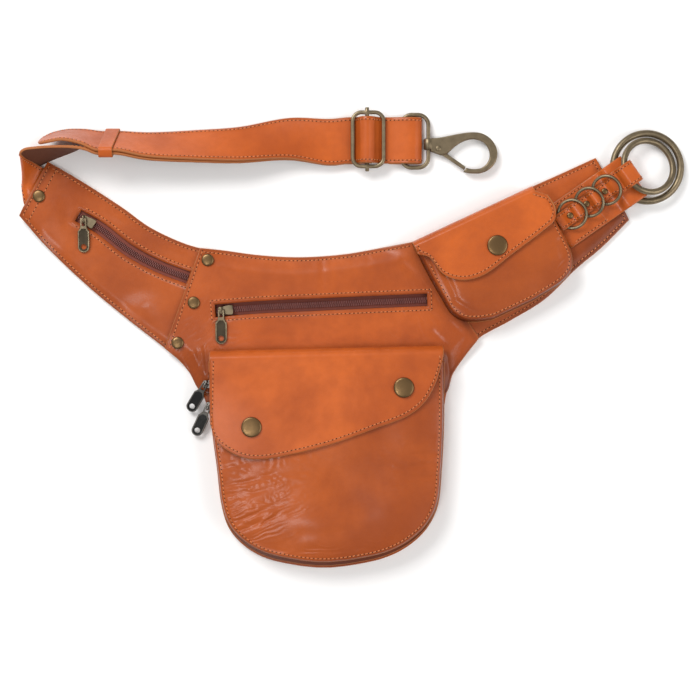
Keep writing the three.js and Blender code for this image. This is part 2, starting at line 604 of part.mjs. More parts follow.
const GATE_OUTLINE = [
  [434.6, 148], [438, 146], [441.6, 148.6], [447, 154.6], [464, 166.6],
  [462.4, 169.6], [444, 157.4], [436, 152.6],
];
const hookPoint = ([c, r]) => spot(c, r);
const hookCurve = (table, steps) => planCurve(table).getPoints(steps);

function hookBody() {
  const outline = [...hookCurve(HOOK_OUTER, 17), ...hookCurve(HOOK_INNER, 14), ...HOOK_CHEEK.map(hookPoint)];
  const low = EYE.height - HOOK.thick / 2;
  const body = plate(outline, low, low + HOOK.thick);
  const ends = [spot(EYE_BAR_COLUMN, HOOK.barrelFrom), spot(EYE_BAR_COLUMN, HOOK.barrelTo)];
  const middle = ends[0].clone().add(ends[1]).divideScalar(2);
  const barrelLength = ends[0].distanceTo(ends[1]);
  const tube = (diameter, length) =>
    new THREE.CylinderGeometry(diameter / 2, diameter / 2, length, 12)
      .translate(middle.x, middle.y, EYE.height);
  const slot = plate(HOOK_SLOT.map(hookPoint), EYE.height - HOOK.slot / 2, EYE.height + HOOK.slot / 2);
  const pivot = hookPoint(HOOK_PIVOT);
  const pin = new THREE.CylinderGeometry(HOOK.pivot / 2, HOOK.pivot / 2, HOOK.thick + HOOK.pinHeads, 10)
    .rotateX(Math.PI / 2)
    .translate(pivot.x, pivot.y, EYE.height);
  const solid = join(cut(body, slot), tube(HOOK.barrel, barrelLength));
  return join(cut(solid, tube(HOOK.bore, 2 * barrelLength)), pin);
}

function hookGate() {
  const points = GATE_OUTLINE.map(hookPoint);
  const bar = plate(points, EYE.height - HOOK.gate / 2, EYE.height + HOOK.gate / 2);
  return cut(bar, drill(hookPoint(HOOK_PIVOT), HOOK.pivot / 2 + HOLE_CLEARANCE));
}

// Assembly
const FINISHES = {
  leather: { color: 0xc8683a, roughness: 0.55, metalness: 0 },
  strap: { color: 0xc4683c, roughness: 0.5, metalness: 0 },
  zip: { color: 0x5a2a22, roughness: 0.7, metalness: 0 },
  brass: { color: 0x7c7358, roughness: 0.35, metalness: 1 },
  dark: { color: 0x1c1a18, roughness: 0.4, metalness: 0.8 },
};
const bag = new THREE.Group();
bag.name = 'belt_bag';
function add(name, geometry, finish) {
  const mesh = new THREE.Mesh(geometry, new THREE.MeshStandardMaterial(FINISHES[finish]));
  mesh.name = name;
  bag.add(mesh);
  return mesh;
}

// Fasteners, each with its place on the plan and the leather that it goes through
const RIVET = { cap: 4.6, rise: 1.8, shank: 1.6 };
const SNAP = { cap: 7.5, rise: 2.2, shank: 2.2, disc: 5, sides: 10 };
const SEAM_RIVETS = { seam_rivet_1: [208.5, 260.5], seam_rivet_2: [194.6, 303], seam_rivet_3: [178.6, 343] };
const STRAP_RIVET = [40.6, 197];
const FLAP_SNAPS = { flap_snap_left: [251.7, 427], flap_snap_right: [403.7, 387.5] };

const seamSpots = Object.values(SEAM_RIVETS).map(([c, r]) => spot(c, r));
const strapRivetSpot = spot(...STRAP_RIVET);
const flapSnapSpots = Object.values(FLAP_SNAPS).map(([c, r]) => spot(c, r, POUCH_SHELLS.front_pocket.crest));
const sideSnapSpot = sidePlan(0, 0, SIDE_SHELL.crest);
const rivetHoles = seamSpots.map((p) => drill(p, RIVET.shank + HOLE_CLEARANCE));
const strapRivetHole = drill(strapRivetSpot, RIVET.shank + HOLE_CLEARANCE);
const snapHoles = flapSnapSpots.map((p) => drill(p, SNAP.shank + HOLE_CLEARANCE));
const sideSnapHole = drill(sideSnapSpot, SNAP.shank + HOLE_CLEARANCE);

// Bite out of the pouch's left rim, where the two side zips end
const BITE = { left: 196, right: 222, top: 372, bottom: 414, height: 12 };
function biteBlock() {
  const { left, right, top, bottom } = BITE;
  const corners = [[left, top], [left, bottom], [right, bottom], [right, top]];
  return plate(corners.map(([c, r]) => spot(c, r)), CUT_THROUGH[0], BITE.height);
}

add('back_panel', plate(BACK_OUTLINE, 0, PANEL), 'leather');
add('left_wing', cut(leftWing.geometry, zipWindow(ZIPS.left), ...rivetHoles, strapRivetHole), 'leather');
add('right_wing', rightWing.geometry, 'leather');
add('centre_panel', cut(
  centrePanel.geometry, zipWindow(ZIPS.centre), ...rivetHoles,
  footprint(pouchShells.rear_pocket.outline), footprint(sideShell.outline),
), 'leather');
const FRONT_WALL_STEP = 0.017;
const SIDE_WALL_STEP = 0.031;
for (const [name, shell] of Object.entries(pouchShells)) {
  const front = name === 'front_pocket';
  const steps = front ? [edged(10, FRONT_WALL_STEP), edged(8, FRONT_WALL_STEP)] : [crowded(11), crowded(8)];
  add(name, cut(wall(shell.surface, ...steps, PANEL), biteBlock(), ...(front ? snapHoles : [])), 'leather');
}
add('pouch_flap', cut(pouchFlap.geometry, ...snapHoles), 'leather');
const sideSteps = [edged(9, SIDE_WALL_STEP), edged(6, SIDE_WALL_STEP)];
add('side_pocket', cut(wall(sideShell.surface, ...sideSteps, PANEL), sideSnapHole), 'leather');
add('side_flap', cut(sideFlap.geometry, sideSnapHole), 'leather');
add('bag_strap', cut(edgedRibbon(BAG_STRAP, STRAP, 2), strapRivetHole), 'strap');
add('hook_strap', edgedRibbon(HOOK_STRAP, STRAP, 2), 'strap');
add('strap_keeper', strapKeeper(), 'strap');
add('ring_strip_wide', wideStrip(), 'leather');
const ringRivetSpots = Object.values(RING_RIVETS).map(([a, z]) => ringPlan(a, NARROW_STRIP.middle).setZ(z));
const TAB_RIVET = { cap: 2.4, rise: 1.5, shank: 1, depth: 1, sides: 6 };
add('ring_strip_narrow', cut(
  narrowStrip(), ...ringRivetSpots.map((p) => drill(p, TAB_RIVET.shank + HOLE_CLEARANCE)),
), 'leather');
Object.keys(RING_RIVETS).forEach((name, i) => {
  add(name, capped(TAB_RIVET), 'brass').position.copy(ringRivetSpots[i]);
});

for (const [name, zip] of Object.entries(ZIPS)) {
  add(`${name}_zip_tape`, zipTape(zip), 'zip');
}
Object.keys(SEAM_RIVETS).forEach((name, i) => {
  const place = seamSpots[i];
  const mesh = add(name, capped({ ...RIVET, depth: 4.2 }), 'brass');
  mesh.position.set(place.x, place.y, CENTRE_TOP + PANEL / 2);
});
add('strap_rivet', capped({ ...RIVET, depth: 3.6 }), 'brass')
  .position.set(strapRivetSpot.x, strapRivetSpot.y, WING_EDGE + WING_RISE + STRAP_LIFT + PANEL / 2);
const snapDepth = 2 * PANEL + GAP + 2.6;
Object.keys(FLAP_SNAPS).forEach((name, i) => {
  const place = flapSnapSpots[i];
  const mesh = add(name, capped({ ...SNAP, depth: snapDepth }), 'brass');
  mesh.position.set(place.x, place.y, pouchFlap.lying(place.x, place.y) + PANEL / 2);
});
add('side_snap', capped({ ...SNAP, depth: snapDepth }), 'brass')
  .position.set(sideSnapSpot.x, sideSnapSpot.y, sideFlap.lying(sideSnapSpot.x, sideSnapSpot.y) + PANEL / 2);
for (const [name, size] of Object.entries(RINGS)) {
  add(name, ring(size), 'brass');
}
add('strap_slider', strapSlider(), 'brass');
add('hook_eye', bevelledFrame(EYE), 'brass');
add('hook_body', hookBody(), 'brass');
add('hook_gate', hookGate(), 'brass');

// Zip sliders and pulls: place of the pull's bar, where the pull points, how it dips, and where the body lies
const PULLS = {
  left: { bar: [85, 220], height: 9.4, points: -90, dip: 8, turn: -31, body: [3.2, -1.4], finish: 'brass' },
  centre: { bar: [222, 311], height: 10.4, points: -90, dip: 4.5, turn: 3, body: [3.2, 0.4], finish: 'brass' },
  upper: { bar: [206.5, 384], height: 12, points: -122, dip: 19, turn: 32, body: [3, 1.9], finish: 'dark' },
  lower: { bar: [209.5, 406], height: 9.4, points: -116, dip: 14, turn: 26, body: [3, 1.9], finish: 'dark' },
};
for (const [name, pull] of Object.entries(PULLS)) {
  const turn = THREE.MathUtils.degToRad(pull.points + 90);
  const holder = new THREE.Group();
  holder.position.copy(spot(...pull.bar)).setZ(pull.height);
  holder.rotation.z = turn;
  bag.add(holder);
  const bodyTurn = THREE.MathUtils.degToRad(pull.turn);
  holder.add(add(`${name}_zip_slider`, zipSlider(bodyTurn, ...pull.body), pull.finish));
  const tab = add(`${name}_zip_pull`, zipPull(), pull.finish);
  tab.rotation.x = THREE.MathUtils.degToRad(pull.dip);
  holder.add(tab);
}

export default bag;
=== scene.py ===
"""Leather belt bag, dressed round its solid model: shells, panels, straps, seams, zips and metal fittings."""

import functools
import math

import bmesh
import bpy
import numpy as np
from bpy.props import FloatProperty, FloatVectorProperty, PointerProperty
from bpy.types import Operator, Panel, PropertyGroup
from mathutils import Matrix, Vector


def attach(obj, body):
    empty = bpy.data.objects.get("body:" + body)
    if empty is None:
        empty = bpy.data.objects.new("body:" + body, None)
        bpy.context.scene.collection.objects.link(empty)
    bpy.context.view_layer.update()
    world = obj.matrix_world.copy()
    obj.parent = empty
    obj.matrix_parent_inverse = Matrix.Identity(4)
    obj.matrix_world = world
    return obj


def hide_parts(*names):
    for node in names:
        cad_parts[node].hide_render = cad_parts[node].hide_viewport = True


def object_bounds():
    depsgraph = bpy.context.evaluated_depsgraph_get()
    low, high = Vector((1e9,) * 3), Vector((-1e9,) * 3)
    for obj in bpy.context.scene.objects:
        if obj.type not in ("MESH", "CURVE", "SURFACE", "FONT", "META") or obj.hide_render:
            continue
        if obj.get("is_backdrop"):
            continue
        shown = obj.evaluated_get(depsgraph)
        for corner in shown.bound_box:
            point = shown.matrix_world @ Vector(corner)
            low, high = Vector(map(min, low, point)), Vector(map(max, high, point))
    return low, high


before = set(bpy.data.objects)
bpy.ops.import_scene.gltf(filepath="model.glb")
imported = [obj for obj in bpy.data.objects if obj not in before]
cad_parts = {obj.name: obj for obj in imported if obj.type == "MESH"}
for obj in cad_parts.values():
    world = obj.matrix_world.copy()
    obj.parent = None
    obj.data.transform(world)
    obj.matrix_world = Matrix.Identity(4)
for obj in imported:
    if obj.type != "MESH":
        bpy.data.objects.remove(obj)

bl_info = {
    "name": "Leather belt bag",
    "version": (1, 0, 0),
    "blender": (4, 5, 0),
    "location": "View3D > Sidebar > Belt bag",
    "description": "Builds the bag's leather, seams, zips and fittings over its solid model",
    "category": "Object",
}

CAD_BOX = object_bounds()
METRES = 0.001

# The plan: places are [column, row] on a 700 x 700 plan seen from above
MM_PER_STEP = 0.75
PLAN_MIDDLE = (351.85, 337.25)
EYE_PLACE = (350.0, 350.0)
EYE_HEIGHT = 1400.0

# Leather layers, in millimetres
PANEL = 1.6
STRIP = 1.3
STRAP = 2.0
GAP = 0.4
WING_EDGE, WING_RISE, WING_ROLL = 2.8, 1.2, 8.0
STRAP_LIFT, LIFT_FROM, LIFT_OVER = 2.5, 0.12, 0.14
CENTRE_EDGE, CENTRE_TOP, CENTRE_ROLL, SEAM_SHARE = 6.0, 6.6, 14.0, 0.2

# Main pouch rows: row, left, right
POUCH_ROWS = [
    (362, 209.5, 443.5), (400, 211, 443.4), (430, 213, 443), (470, 218, 441), (506, 222.5, 437),
    (528, 230, 426), (545, 245, 408), (557, 266, 384), (564.6, 299, 349), (566.6, 317, 331),
]
# Shells: rim, crest, foot, run of the steep wall and its share of the rise, shoulder, reach
POUCH_SHELLS = {
    "rear_pocket": (2.8, 8.4, 10, 1.0, 0.0, 20, 1.0),
    "middle_pocket": (4.8, 15.6, 8, 1.0, 0.0, 23, 0.989),
    "front_pocket": (7.1, 25.0, 0.6, 2.2, 0.82, 34, 0.97),
}
SIDE_ORIGIN, SIDE_TILT = (497, 245.6), 25
SIDE_ROWS = [
    (-26, -76, 62), (4, -75, 62.5), (27, -73, 63.5), (42, -71, 62), (53, -64, 56), (60, -52, 44),
    (65, -36, 8),
]
SIDE_SHELL = (6.0, 21.5, 0.5, 2.2, 0.84, 24, 1.0)
# Bite out of the pouch's left rim, where the two side zips end: left, right, top, bottom, height
BITE = (196, 222, 372, 414, 12)

# Yoke edges
LEFT_LOWER = [(21, 216), (50, 249), (90, 287), (130, 320), (166, 348)]
NECK_LEFT = [(166, 348), (180, 360), (190, 372), (202, 392), (210, 415)]
NECK_RIGHT = [(443.4, 410), (448, 386), (454, 371), (466, 354), (478, 338)]
RIGHT_LOWER = [(478, 338), (510, 320), (544, 299), (576, 268), (600, 248), (628, 220)]
RIGHT_UPPER = [(595, 159), (560, 175), (531, 188), (480, 213), (440, 231), (412, 243)]
CENTRE_UPPER = [(412, 243), (385, 248), (345, 255), (300, 258), (260, 256), (222, 251), (201, 249)]
LEFT_UPPER = [(201, 249), (184, 244), (150, 228), (122, 208), (80, 181), (49, 163)]
CENTRE_LOWER = [
    (166, 348), (180, 360), (190, 372), (203, 392), (240, 394), (322, 394),
    (410, 394), (444, 394), (452, 374), (464, 356), (478, 338),
]

# Zips: path, tape width, lowest and highest
ZIP_WINDOW = 9.4
ZIPS = {
    "left": ([(79, 216), (100, 228), (130, 251), (160, 267), (189, 278)], 17, 1.9, 4.3),
    "centre": ([(216, 311), (260, 307.5), (320, 304.7), (380, 302), (427, 300)], 17, 1.9, 4.3),
    "upper": ([(214.5, 379), (214.5, 384), (214.6, 389)], 8, 4.6, 7.2),
    "lower": ([(216, 400), (216, 405), (216.1, 409)], 8, 2.0, 4.6),
}

# Flaps: root height, fold's left and right end, fold depth, lower edge
POUCH_FLAP = (8.8, (210, 352), (443, 346.5), 8, [
    (211, 424), (217, 440), (230, 451), (246, 457.5), (262, 458.5), (290, 454), (330, 444),
    (372, 429), (408, 415), (424, 402), (435, 383), (442, 360),
])
SIDE_FLAP = (8.4, (-75, -38.5), (57, -38.5), 6, [
    (-75, -26), (-66, -18), (-61, 2), (-54, 11), (-42, 18), (-24, 20.5), (13, 13), (50, 5), (62, 1),
    (68, -9), (67, -24),
])
FLAP_LIE, FLAP_DROOP, FOLD_SHARE = PANEL + 2.4 * GAP, 0.9, 0.35

# Straps: both edges along the strap, each (column, row, height)
STRAP_NORTH, STRAP_SOUTH, STRAP_END = 119, 163.8, 3.1
BAG_STRAP = [
    ((47, 214, STRAP_END), (62, 176, STRAP_END)), ((36, 210.4, STRAP_END), (52, 172.4, STRAP_END)),
    ((27, 207, 2.9), (43.5, 169, 4)), ((24, 196, 1.8), (35, 164, 12)), ((23.5, 186, 1.5), (29.5, 161, 26)),
    ((26, 177, 1.5), (28, 157, 32)), ((33, 169, 1.5), (32, 154, 33)), ((42, 164.4, 1.5), (42, 152.6, 34)),
    ((52, 159.6, 1.5), (55, 151.6, 34)), ((77, 149.5, 1.6), (78, 151.8, 34.5)),
    ((90, 142.5, 2.2), (91, 154, 34.5)), ((103, 136.2, 3.8), (103, 158.2, 32.4)),
    ((122, 136.2, 3.8), (122, 158.2, 32.4)),
    ((150, 136.8, 2), (150, 162.8, 27.8)), ((200, 133.9, 1.6), (200, 164.8, 24.1)),
    ((240, 130.6, 1.6), (240, 165.1, 20.9)), ((290, 120.6, 1.7), (290, 161.1, 11.5)),
    ((330, 120.6, 3), (330, 165.7, 5)),
]
BAG_STRAP_FLAT = [
    (348, 3.9), (353, 4), (357, 5), (361.5, 8.4), (364.4, 11.8), (367, 12.6), (369.6, 11.8), (370.7, 9.8),
    (369.6, 7.8), (367, 7), (362, 4.6), (356.5, 2.2), (350, 1.5), (338, 1.5),
]
HOOK_STRAP = [
    ((43.5, 143, 16), (43.5, 146, 21)), ((46, 139.5, 10), (46, 147, 26)), ((54, 134.5, 5.5), (54, 146.5, 31)),
    ((68, 131, 3.6), (68, 144.5, 33.4)), ((86, 130.8, 3.6), (86, 148, 33.8)),
    ((103, 133, 5), (103, 155, 33.7)), ((122, 133, 5), (122, 155, 33.7)), ((150, 134, 3.6), (150, 160, 29.4)),
    ((200, 131.5, 3.6), (200, 162.4, 26)), ((240, 128.5, 3.7), (240, 163, 23)),
    ((290, 119.5, 4.2), (290, 160, 14)), ((330, 120.5, 5.6), (330, 165.5, 7.6)),
]
HOOK_STRAP_FLAT = [
    (348, 6.4), (353, 6.5), (357.5, 8), (359.8, 10.8), (362.1, 13.5), (367, 15), (371.9, 13.5), (375.5, 10),
    (379.5, 7.4), (384, 6.5), (392, 6.6), (401, 7.8), (411, 8.6), (417, 7.6), (420.3, 4.8), (417.5, 2),
    (411, 1.5), (400, 1.5), (389, 1.5),
]
KEEPER = {
    "place": (112.5, 145.6), "height": 18.75, "lean": 60, "long": 34.6, "deep": 5.8, "corner": 1,
    "wall": 1.3, "width": 9.8, "skew": 0.06,
}

# Ring end: strips as (along, height), rings as along, across, outside, wire, held and free height
RING_ORIGIN, RING_TILT = (606, 191), 35
WIDE_FROM, WIDE_TO = -20, 26.3
WIDE_PATH = [
    (-62, 5.6), (-20, 5.75), (8, 5.75), (20, 4.4), (26.8, 5.2), (29, 8.6), (27, 11.5), (22, 12.15),
    (9, 12.15), (6, 11.2), (2, 8.4), (-2, 7.4), (-7, 7.1), (-12, 6.5), (-18, 5.9),
]
NARROW_MIDDLE, NARROW_SLIM, NARROW_FULL, NARROW_GROW = -0.6, 8.3, 11.2, (4, 11)
NARROW_PATH = [
    (-59.5, 9.9), (-57, 10.3), (-53, 10.4), (-50, 8.4), (-48, 7.4), (-44.5, 7.35), (-41.5, 8.1),
    (-38.4, 10.3), (-32.4, 10.8), (-29.6, 8.6), (-28.2, 7.5), (-25, 7.4), (-22, 7.7), (-20, 9.6),
    (-17.8, 12.5), (-12.2, 13.1), (-9, 10.4), (-7.4, 9.4), (-3.5, 9.3), (1, 10.1), (5, 12.8), (8.5, 14.5),
    (11.5, 15.5), (14.4, 15.8), (17, 19.6), (20, 21.8), (26.6, 21.6), (31.6, 19), (32.4, 16.4),
    (29.6, 14.2), (24, 13.9), (10.5, 13.9),
]
RINGS = {
    "outer_ring": (45.5, 4, 56, 5.2, 8.6, 5.2),
    "inner_ring": (46.2, 4, 44.2, 4.6, 18.3, 4.6),
    "small_ring_1": (-2, -0.6, 23.5, 2.3, 9.3, 17.8),
    "small_ring_2": (-22.5, -0.6, 23.5, 2.3, 7.55, 16.1),
    "small_ring_3": (-43, -0.6, 23.5, 2.3, 7.6, 13.8),
}

# Strap slider, hook eye, hook and gate
BUCKLE = {"place": (368, 140.8), "height": 9.8, "long": 37.2, "deep": 20, "corner": 5, "wire": 3}
BUCKLE_PIN = {"column": 367, "diameter": 3, "ends": 4.5}
EYE = {"place": (414.7, 142), "height": 4.6, "long": 36.5, "deep": 17, "corner": 6, "wire": 3}
EYE_BAR_COLUMN, BARREL_ROWS, BARREL, HOOK_THICK, GATE_THICK = 428, (139.5, 150.5), 7.0, 5.0, 2.0
HOOK_PIVOT, PIVOT_HEAD = (438, 149.4), 4.2
HOOK_OUTER = [
    (430, 139.2), (440, 138.4), (455, 135.4), (470, 133.2), (481, 134.2), (490, 139.6), (495.6, 148),
    (496.8, 156), (494, 164.6), (488, 170.6), (480, 173.8), (470, 174), (463, 172.6),
]
HOOK_INNER = [
    (465.6, 168.6), (472, 169.8), (480, 169), (486, 164.6), (489.2, 157), (487.6, 149), (482, 142.6),
    (473, 140), (464, 141.8), (455, 147), (447, 154.4),
]
HOOK_CHEEK = [(441, 156), (435, 154), (430, 152)]
HOOK_SLOT = [(431.6, 146), (437, 142), (449, 146.5), (470, 166), (467, 176), (440, 162), (430, 153)]
GATE_OUTLINE = [
    (434.6, 148), (438, 146), (441.6, 148.6), (447, 154.6), (465.3, 167.5), (463.7, 170.5), (444, 157.4),
    (436, 152.6),
]

# Fasteners on the plan
SEAM_RIVETS = {"seam_rivet_1": (208.5, 260.5), "seam_rivet_2": (194.6, 303), "seam_rivet_3": (178.6, 343)}
STRAP_RIVET = (40.6, 197)
FLAP_SNAPS = {"flap_snap_left": (251.7, 427), "flap_snap_right": (403.7, 387.5)}
RING_RIVETS = {"tab_rivet_1": (-3.6, 10.3), "tab_rivet_2": (-25, 8.4), "tab_rivet_3": (-45, 8.3)}

# Zip pulls: place and height of the bar, where the pull points, its dip, the slider's turn and place
PULLS = {
    "left": ((85, 220), 9.4, -90, 8, -31, (3.2, -1.4)),
    "centre": ((222, 311), 10.4, -90, 4.5, 3, (3.2, 0.4)),
    "upper": ((206.5, 384), 12, -122, 19, 32, (3, 1.9)),
    "lower": ((209.5, 406), 9.4, -116, 14, 26, (3, 1.9)),
}


def to_linear(hex_colour):
    """Linear red, green and blue of an sRGB hex colour."""
    parts = [int(hex_colour[i : i + 2], 16) / 255 for i in (0, 2, 4)]
    return tuple(c / 12.92 if c <= 0.04045 else ((c + 0.055) / 1.055) ** 2.4 for c in parts)


def length(name, description, millimetres):
    """A property for a length."""
    return FloatProperty(name=name, description=description, default=millimetres * METRES, unit="LENGTH")


def colour(name, description, hex_colour):
    """A property for a colour."""
    return FloatVectorProperty(
        name=name, description=description, subtype="COLOR", default=to_linear(hex_colour)
    )


class BagSizes(PropertyGroup):
    """Sizes that a maker would change"""

    stitch_pitch: length("Stitch pitch", "From one stitch to the next", 3.1)
    stitch_length: length("Stitch length", "Length of thread that shows", 2.3)
    thread: length("Thread", "Thickness of the thread", 0.7)
    seam_inset: length("Seam inset", "From a cut edge to its seam", 2.5)
    grain: length("Grain", "Width of one grain of the leather", 1.1)
    tooth_pitch: length("Tooth pitch", "From one zip tooth to the next", 0.68)


class BagColours(PropertyGroup):
    """Colours that a maker would change"""

    leather: colour("Leather", "Grain side", "C25D22")
    # Also the colour of painted shade: the grain mixes towards it at a third of its brightness where the
    # shade attribute is high
    leather_drift_and_shade: colour("Dark leather", "Grain side in its darker drifts", "984217")
    flesh: colour("Flesh side", "Back of the leather", "5E3018")
    cut_edge: colour("Cut edge", "Raw edges", "A5612F")
    thread: colour("Thread", "Sewing thread", "CC7844")
    tape: colour("Zip tape", "Woven tape", "7C3828")
    teeth: colour("Zip teeth", "Zip teeth", "8C5650")
    brass: colour("Antique brass", "Fittings", "86775F")
    brass_dark: colour("Brass patina", "Fittings in their hollows", "463D2F")
    rubbed: colour("Rubbed brass", "Caps where the patina has worn off", "785E3E")
    gunmetal: colour("Gunmetal", "Dark pulls", "7A7670")
    floor: colour("Floor", "Studio floor", "FAF9F8")


def sizes():
    return bpy.context.scene.belt_bag_sizes


def seam_inset():
    return sizes().seam_inset / METRES


def colours():
    return bpy.context.scene.belt_bag_colours


def rgba(colour, gain=1.0):
    return (*(min(c * gain, 1.0) for c in colour), 1.0)


def add_node(tree, kind, inputs=None, out=0, **settings):
    """Adds a node, sets its options, gives its inputs values or links, and returns one of its outputs."""
    made = tree.nodes.new("ShaderNode" + kind)
    for name, value in settings.items():
        setattr(made, name, value)
    for name, value in (inputs or {}).items():
        if isinstance(value, bpy.types.NodeSocket):
            tree.links.new(value, made.inputs[name])
        else:
            made.inputs[name].default_value = value
    return made.outputs[out] if made.outputs else None


def new_material(name):
    """An empty material, the way to add its nodes, and the object's own coordinates in metres."""
    material = bpy.data.materials.new(name)
    material.use_nodes = True
    material.node_tree.nodes.clear()
    node = functools.partial(add_node, material.node_tree)
    return material, node, node("TexCoord", out="Object")


def finished(material, node, shader_inputs):
    node("OutputMaterial", {"Surface": node("BsdfPrincipled", shader_inputs)})
    return material


# A mix node's inputs for colours, its options, and the scale at which a wave's bands are one unit apart
MIX_A, MIX_B, COLOUR_MIX = 6, 7, {"data_type": "RGBA", "out": 2}
WAVE_TURNS = 2 * math.pi / 20
# Pattern sizes in metres
DRIFT, MOTTLE, LUMP, THREAD_PLY, TAPE_RIB = 0.05, 0.006, 0.0045, 0.004, 0.0009
PATINA, SCUFF, PAPER_TOOTH = 0.006, 0.0009, 0.002


def waxed_tan_leather():
    """Full grain leather coloured through in the drum and waxed: warm tan that drifts in tone, fine grain, a
    soft gloss, and darker where each piece carries painted shade.
    """
    c = colours()
    material, node, place = new_material("waxed_tan_leather")
    drift = node("TexNoise", {"Vector": place, "Scale": 1 / DRIFT, "Detail": 4.0})
    mottle = node("TexNoise", {"Vector": place, "Scale": 1 / MOTTLE, "Detail": 3.0})
    tone = node("MapRange", {"Value": drift, "From Min": 0.38, "From Max": 0.64, "To Max": 0.68})
    speck = node("MapRange", {"Value": mottle, "From Min": 0.4, "From Max": 0.75, "To Max": 0.16})
    # Painted shade from the shade attribute: beside the pockets, on the gussets behind the pockets' faces, on
    # the lower pieces and the right wing's end, and a little along edges, rims and windows
    shade = node("Attribute", out="Fac", attribute_name="shade")
    hide = rgba(c.leather)
    for share, gain in ((tone, 1.0), (speck, 0.8), (shade, 0.34)):
        hide = node("Mix", {0: share, MIX_A: hide, MIX_B: rgba(c.leather_drift_and_shade, gain)}, **COLOUR_MIX)
    gloss = node(
        "MapRange", {"Value": mottle, "From Min": 0.3, "From Max": 0.7, "To Min": 0.36, "To Max": 0.5}
    )
    cells = node(
        "TexVoronoi", {"Vector": place, "Scale": 1 / sizes().grain}, "Distance", feature="DISTANCE_TO_EDGE"
    )
    creases = node("MapRange", {"Value": cells, "From Max": 0.16})
    lumps = node("TexNoise", {"Vector": place, "Scale": 1 / LUMP, "Detail": 2.0})
    swell = node("Bump", {"Height": lumps, "Strength": 0.35, "Distance": 0.0006})
    bump = node("Bump", {"Height": creases, "Strength": 0.3, "Distance": 0.00012, "Normal": swell})
    return finished(material, node, {
        "Base Color": hide, "Roughness": gloss, "Normal": bump,
        "Specular IOR Level": 0.15, "Coat Weight": 0.3, "Coat Roughness": 0.21,
    })


def two_toned(material, node, pattern, base, tones, relief, rough):
    """Finishes a material that goes from dark to light over a pattern, which stands out a little."""
    tone = node(
        "Mix", {0: pattern, MIX_A: rgba(base, tones[0]), MIX_B: rgba(base, tones[1])}, **COLOUR_MIX
    )
    bump = node("Bump", {"Height": pattern, "Strength": relief[0], "Distance": relief[1]})
    return finished(material, node, {"Base Color": tone, "Roughness": rough, "Normal": bump})


def leather_fibre(name, base, width, rough):
    """Raw leather fibre, cut or skived: matt, streaked light and dark along no one way."""
    material, node, place = new_material(name)
    fibre = node("TexNoise", {"Vector": place, "Scale": 1 / width, "Detail": 4.0})
    return two_toned(material, node, fibre, base, (0.6, 1.35), (0.5, 0.0003), rough)


def waxed_thread():
    """Waxed polyester thread, two plies twisted: a slanting ripple, coarser than real, and a dull shine."""
    material, node, place = new_material("waxed_thread")
    twist = {"Vector": place, "Scale": 1 / THREAD_PLY, "Distortion": 1.0}
    ply = node("TexWave", twist, "Fac", bands_direction="DIAGONAL")
    return two_toned(material, node, ply, colours().thread, (0.7, 1.15), (0.4, 0.0001), 0.55)


def woven_zip_tape():
    """Woven polyester tape: a close rib that shows as fine lines, drawn coarse so that it can be seen."""
    material, node, place = new_material("woven_zip_tape")
    weave_inputs = {"Vector": place, "Scale": WAVE_TURNS / TAPE_RIB}
    rib, weft = (node("TexWave", weave_inputs, "Fac", bands_direction=way) for way in ("X", "Y"))
    weave = node("Math", {0: rib, 1: weft}, operation="MULTIPLY")
    return two_toned(material, node, weave, colours().tape, (0.6, 1.5), (0.5, 0.0002), 0.75)


def tumbled_metal(name, bright, dark, rough, metallic):
    """Plated, tumbled and lacquered: a satin shine with darker drifts where the plate kept its patina."""
    material, node, place = new_material(name)
    patina = node("TexNoise", {"Vector": place, "Scale": 1 / PATINA, "Detail": 4.0})
    spread = node("MapRange", {"Value": patina, "From Min": 0.35, "From Max": 0.72, "To Max": 0.5})
    tone = node("Mix", {0: spread, MIX_A: rgba(bright), MIX_B: rgba(dark)}, **COLOUR_MIX)
    satin = node("MapRange", {"Value": patina, "To Min": rough - 0.1, "To Max": rough + 0.14})
    scuffs = node("TexNoise", {"Vector": place, "Scale": 1 / SCUFF, "Detail": 2.0})
    bump = node("Bump", {"Height": scuffs, "Strength": 0.12, "Distance": 0.0001})
    return finished(material, node, {
        "Base Color": tone, "Metallic": metallic, "Roughness": satin, "Normal": bump,
    })


def studio_paper():
    """Matt white paper sweep: an even pale ground that takes a soft shadow."""
    material, node, place = new_material("studio_paper")
    tooth = node("TexNoise", {"Vector": place, "Scale": 1 / PAPER_TOOTH, "Detail": 2.0})
    bump = node("Bump", {"Height": tooth, "Strength": 0.05, "Distance": 0.0001})
    return finished(material, node, {"Base Color": rgba(colours().floor), "Roughness": 0.9, "Normal": bump})


def darker(base, share):
    return [share * part for part in base]


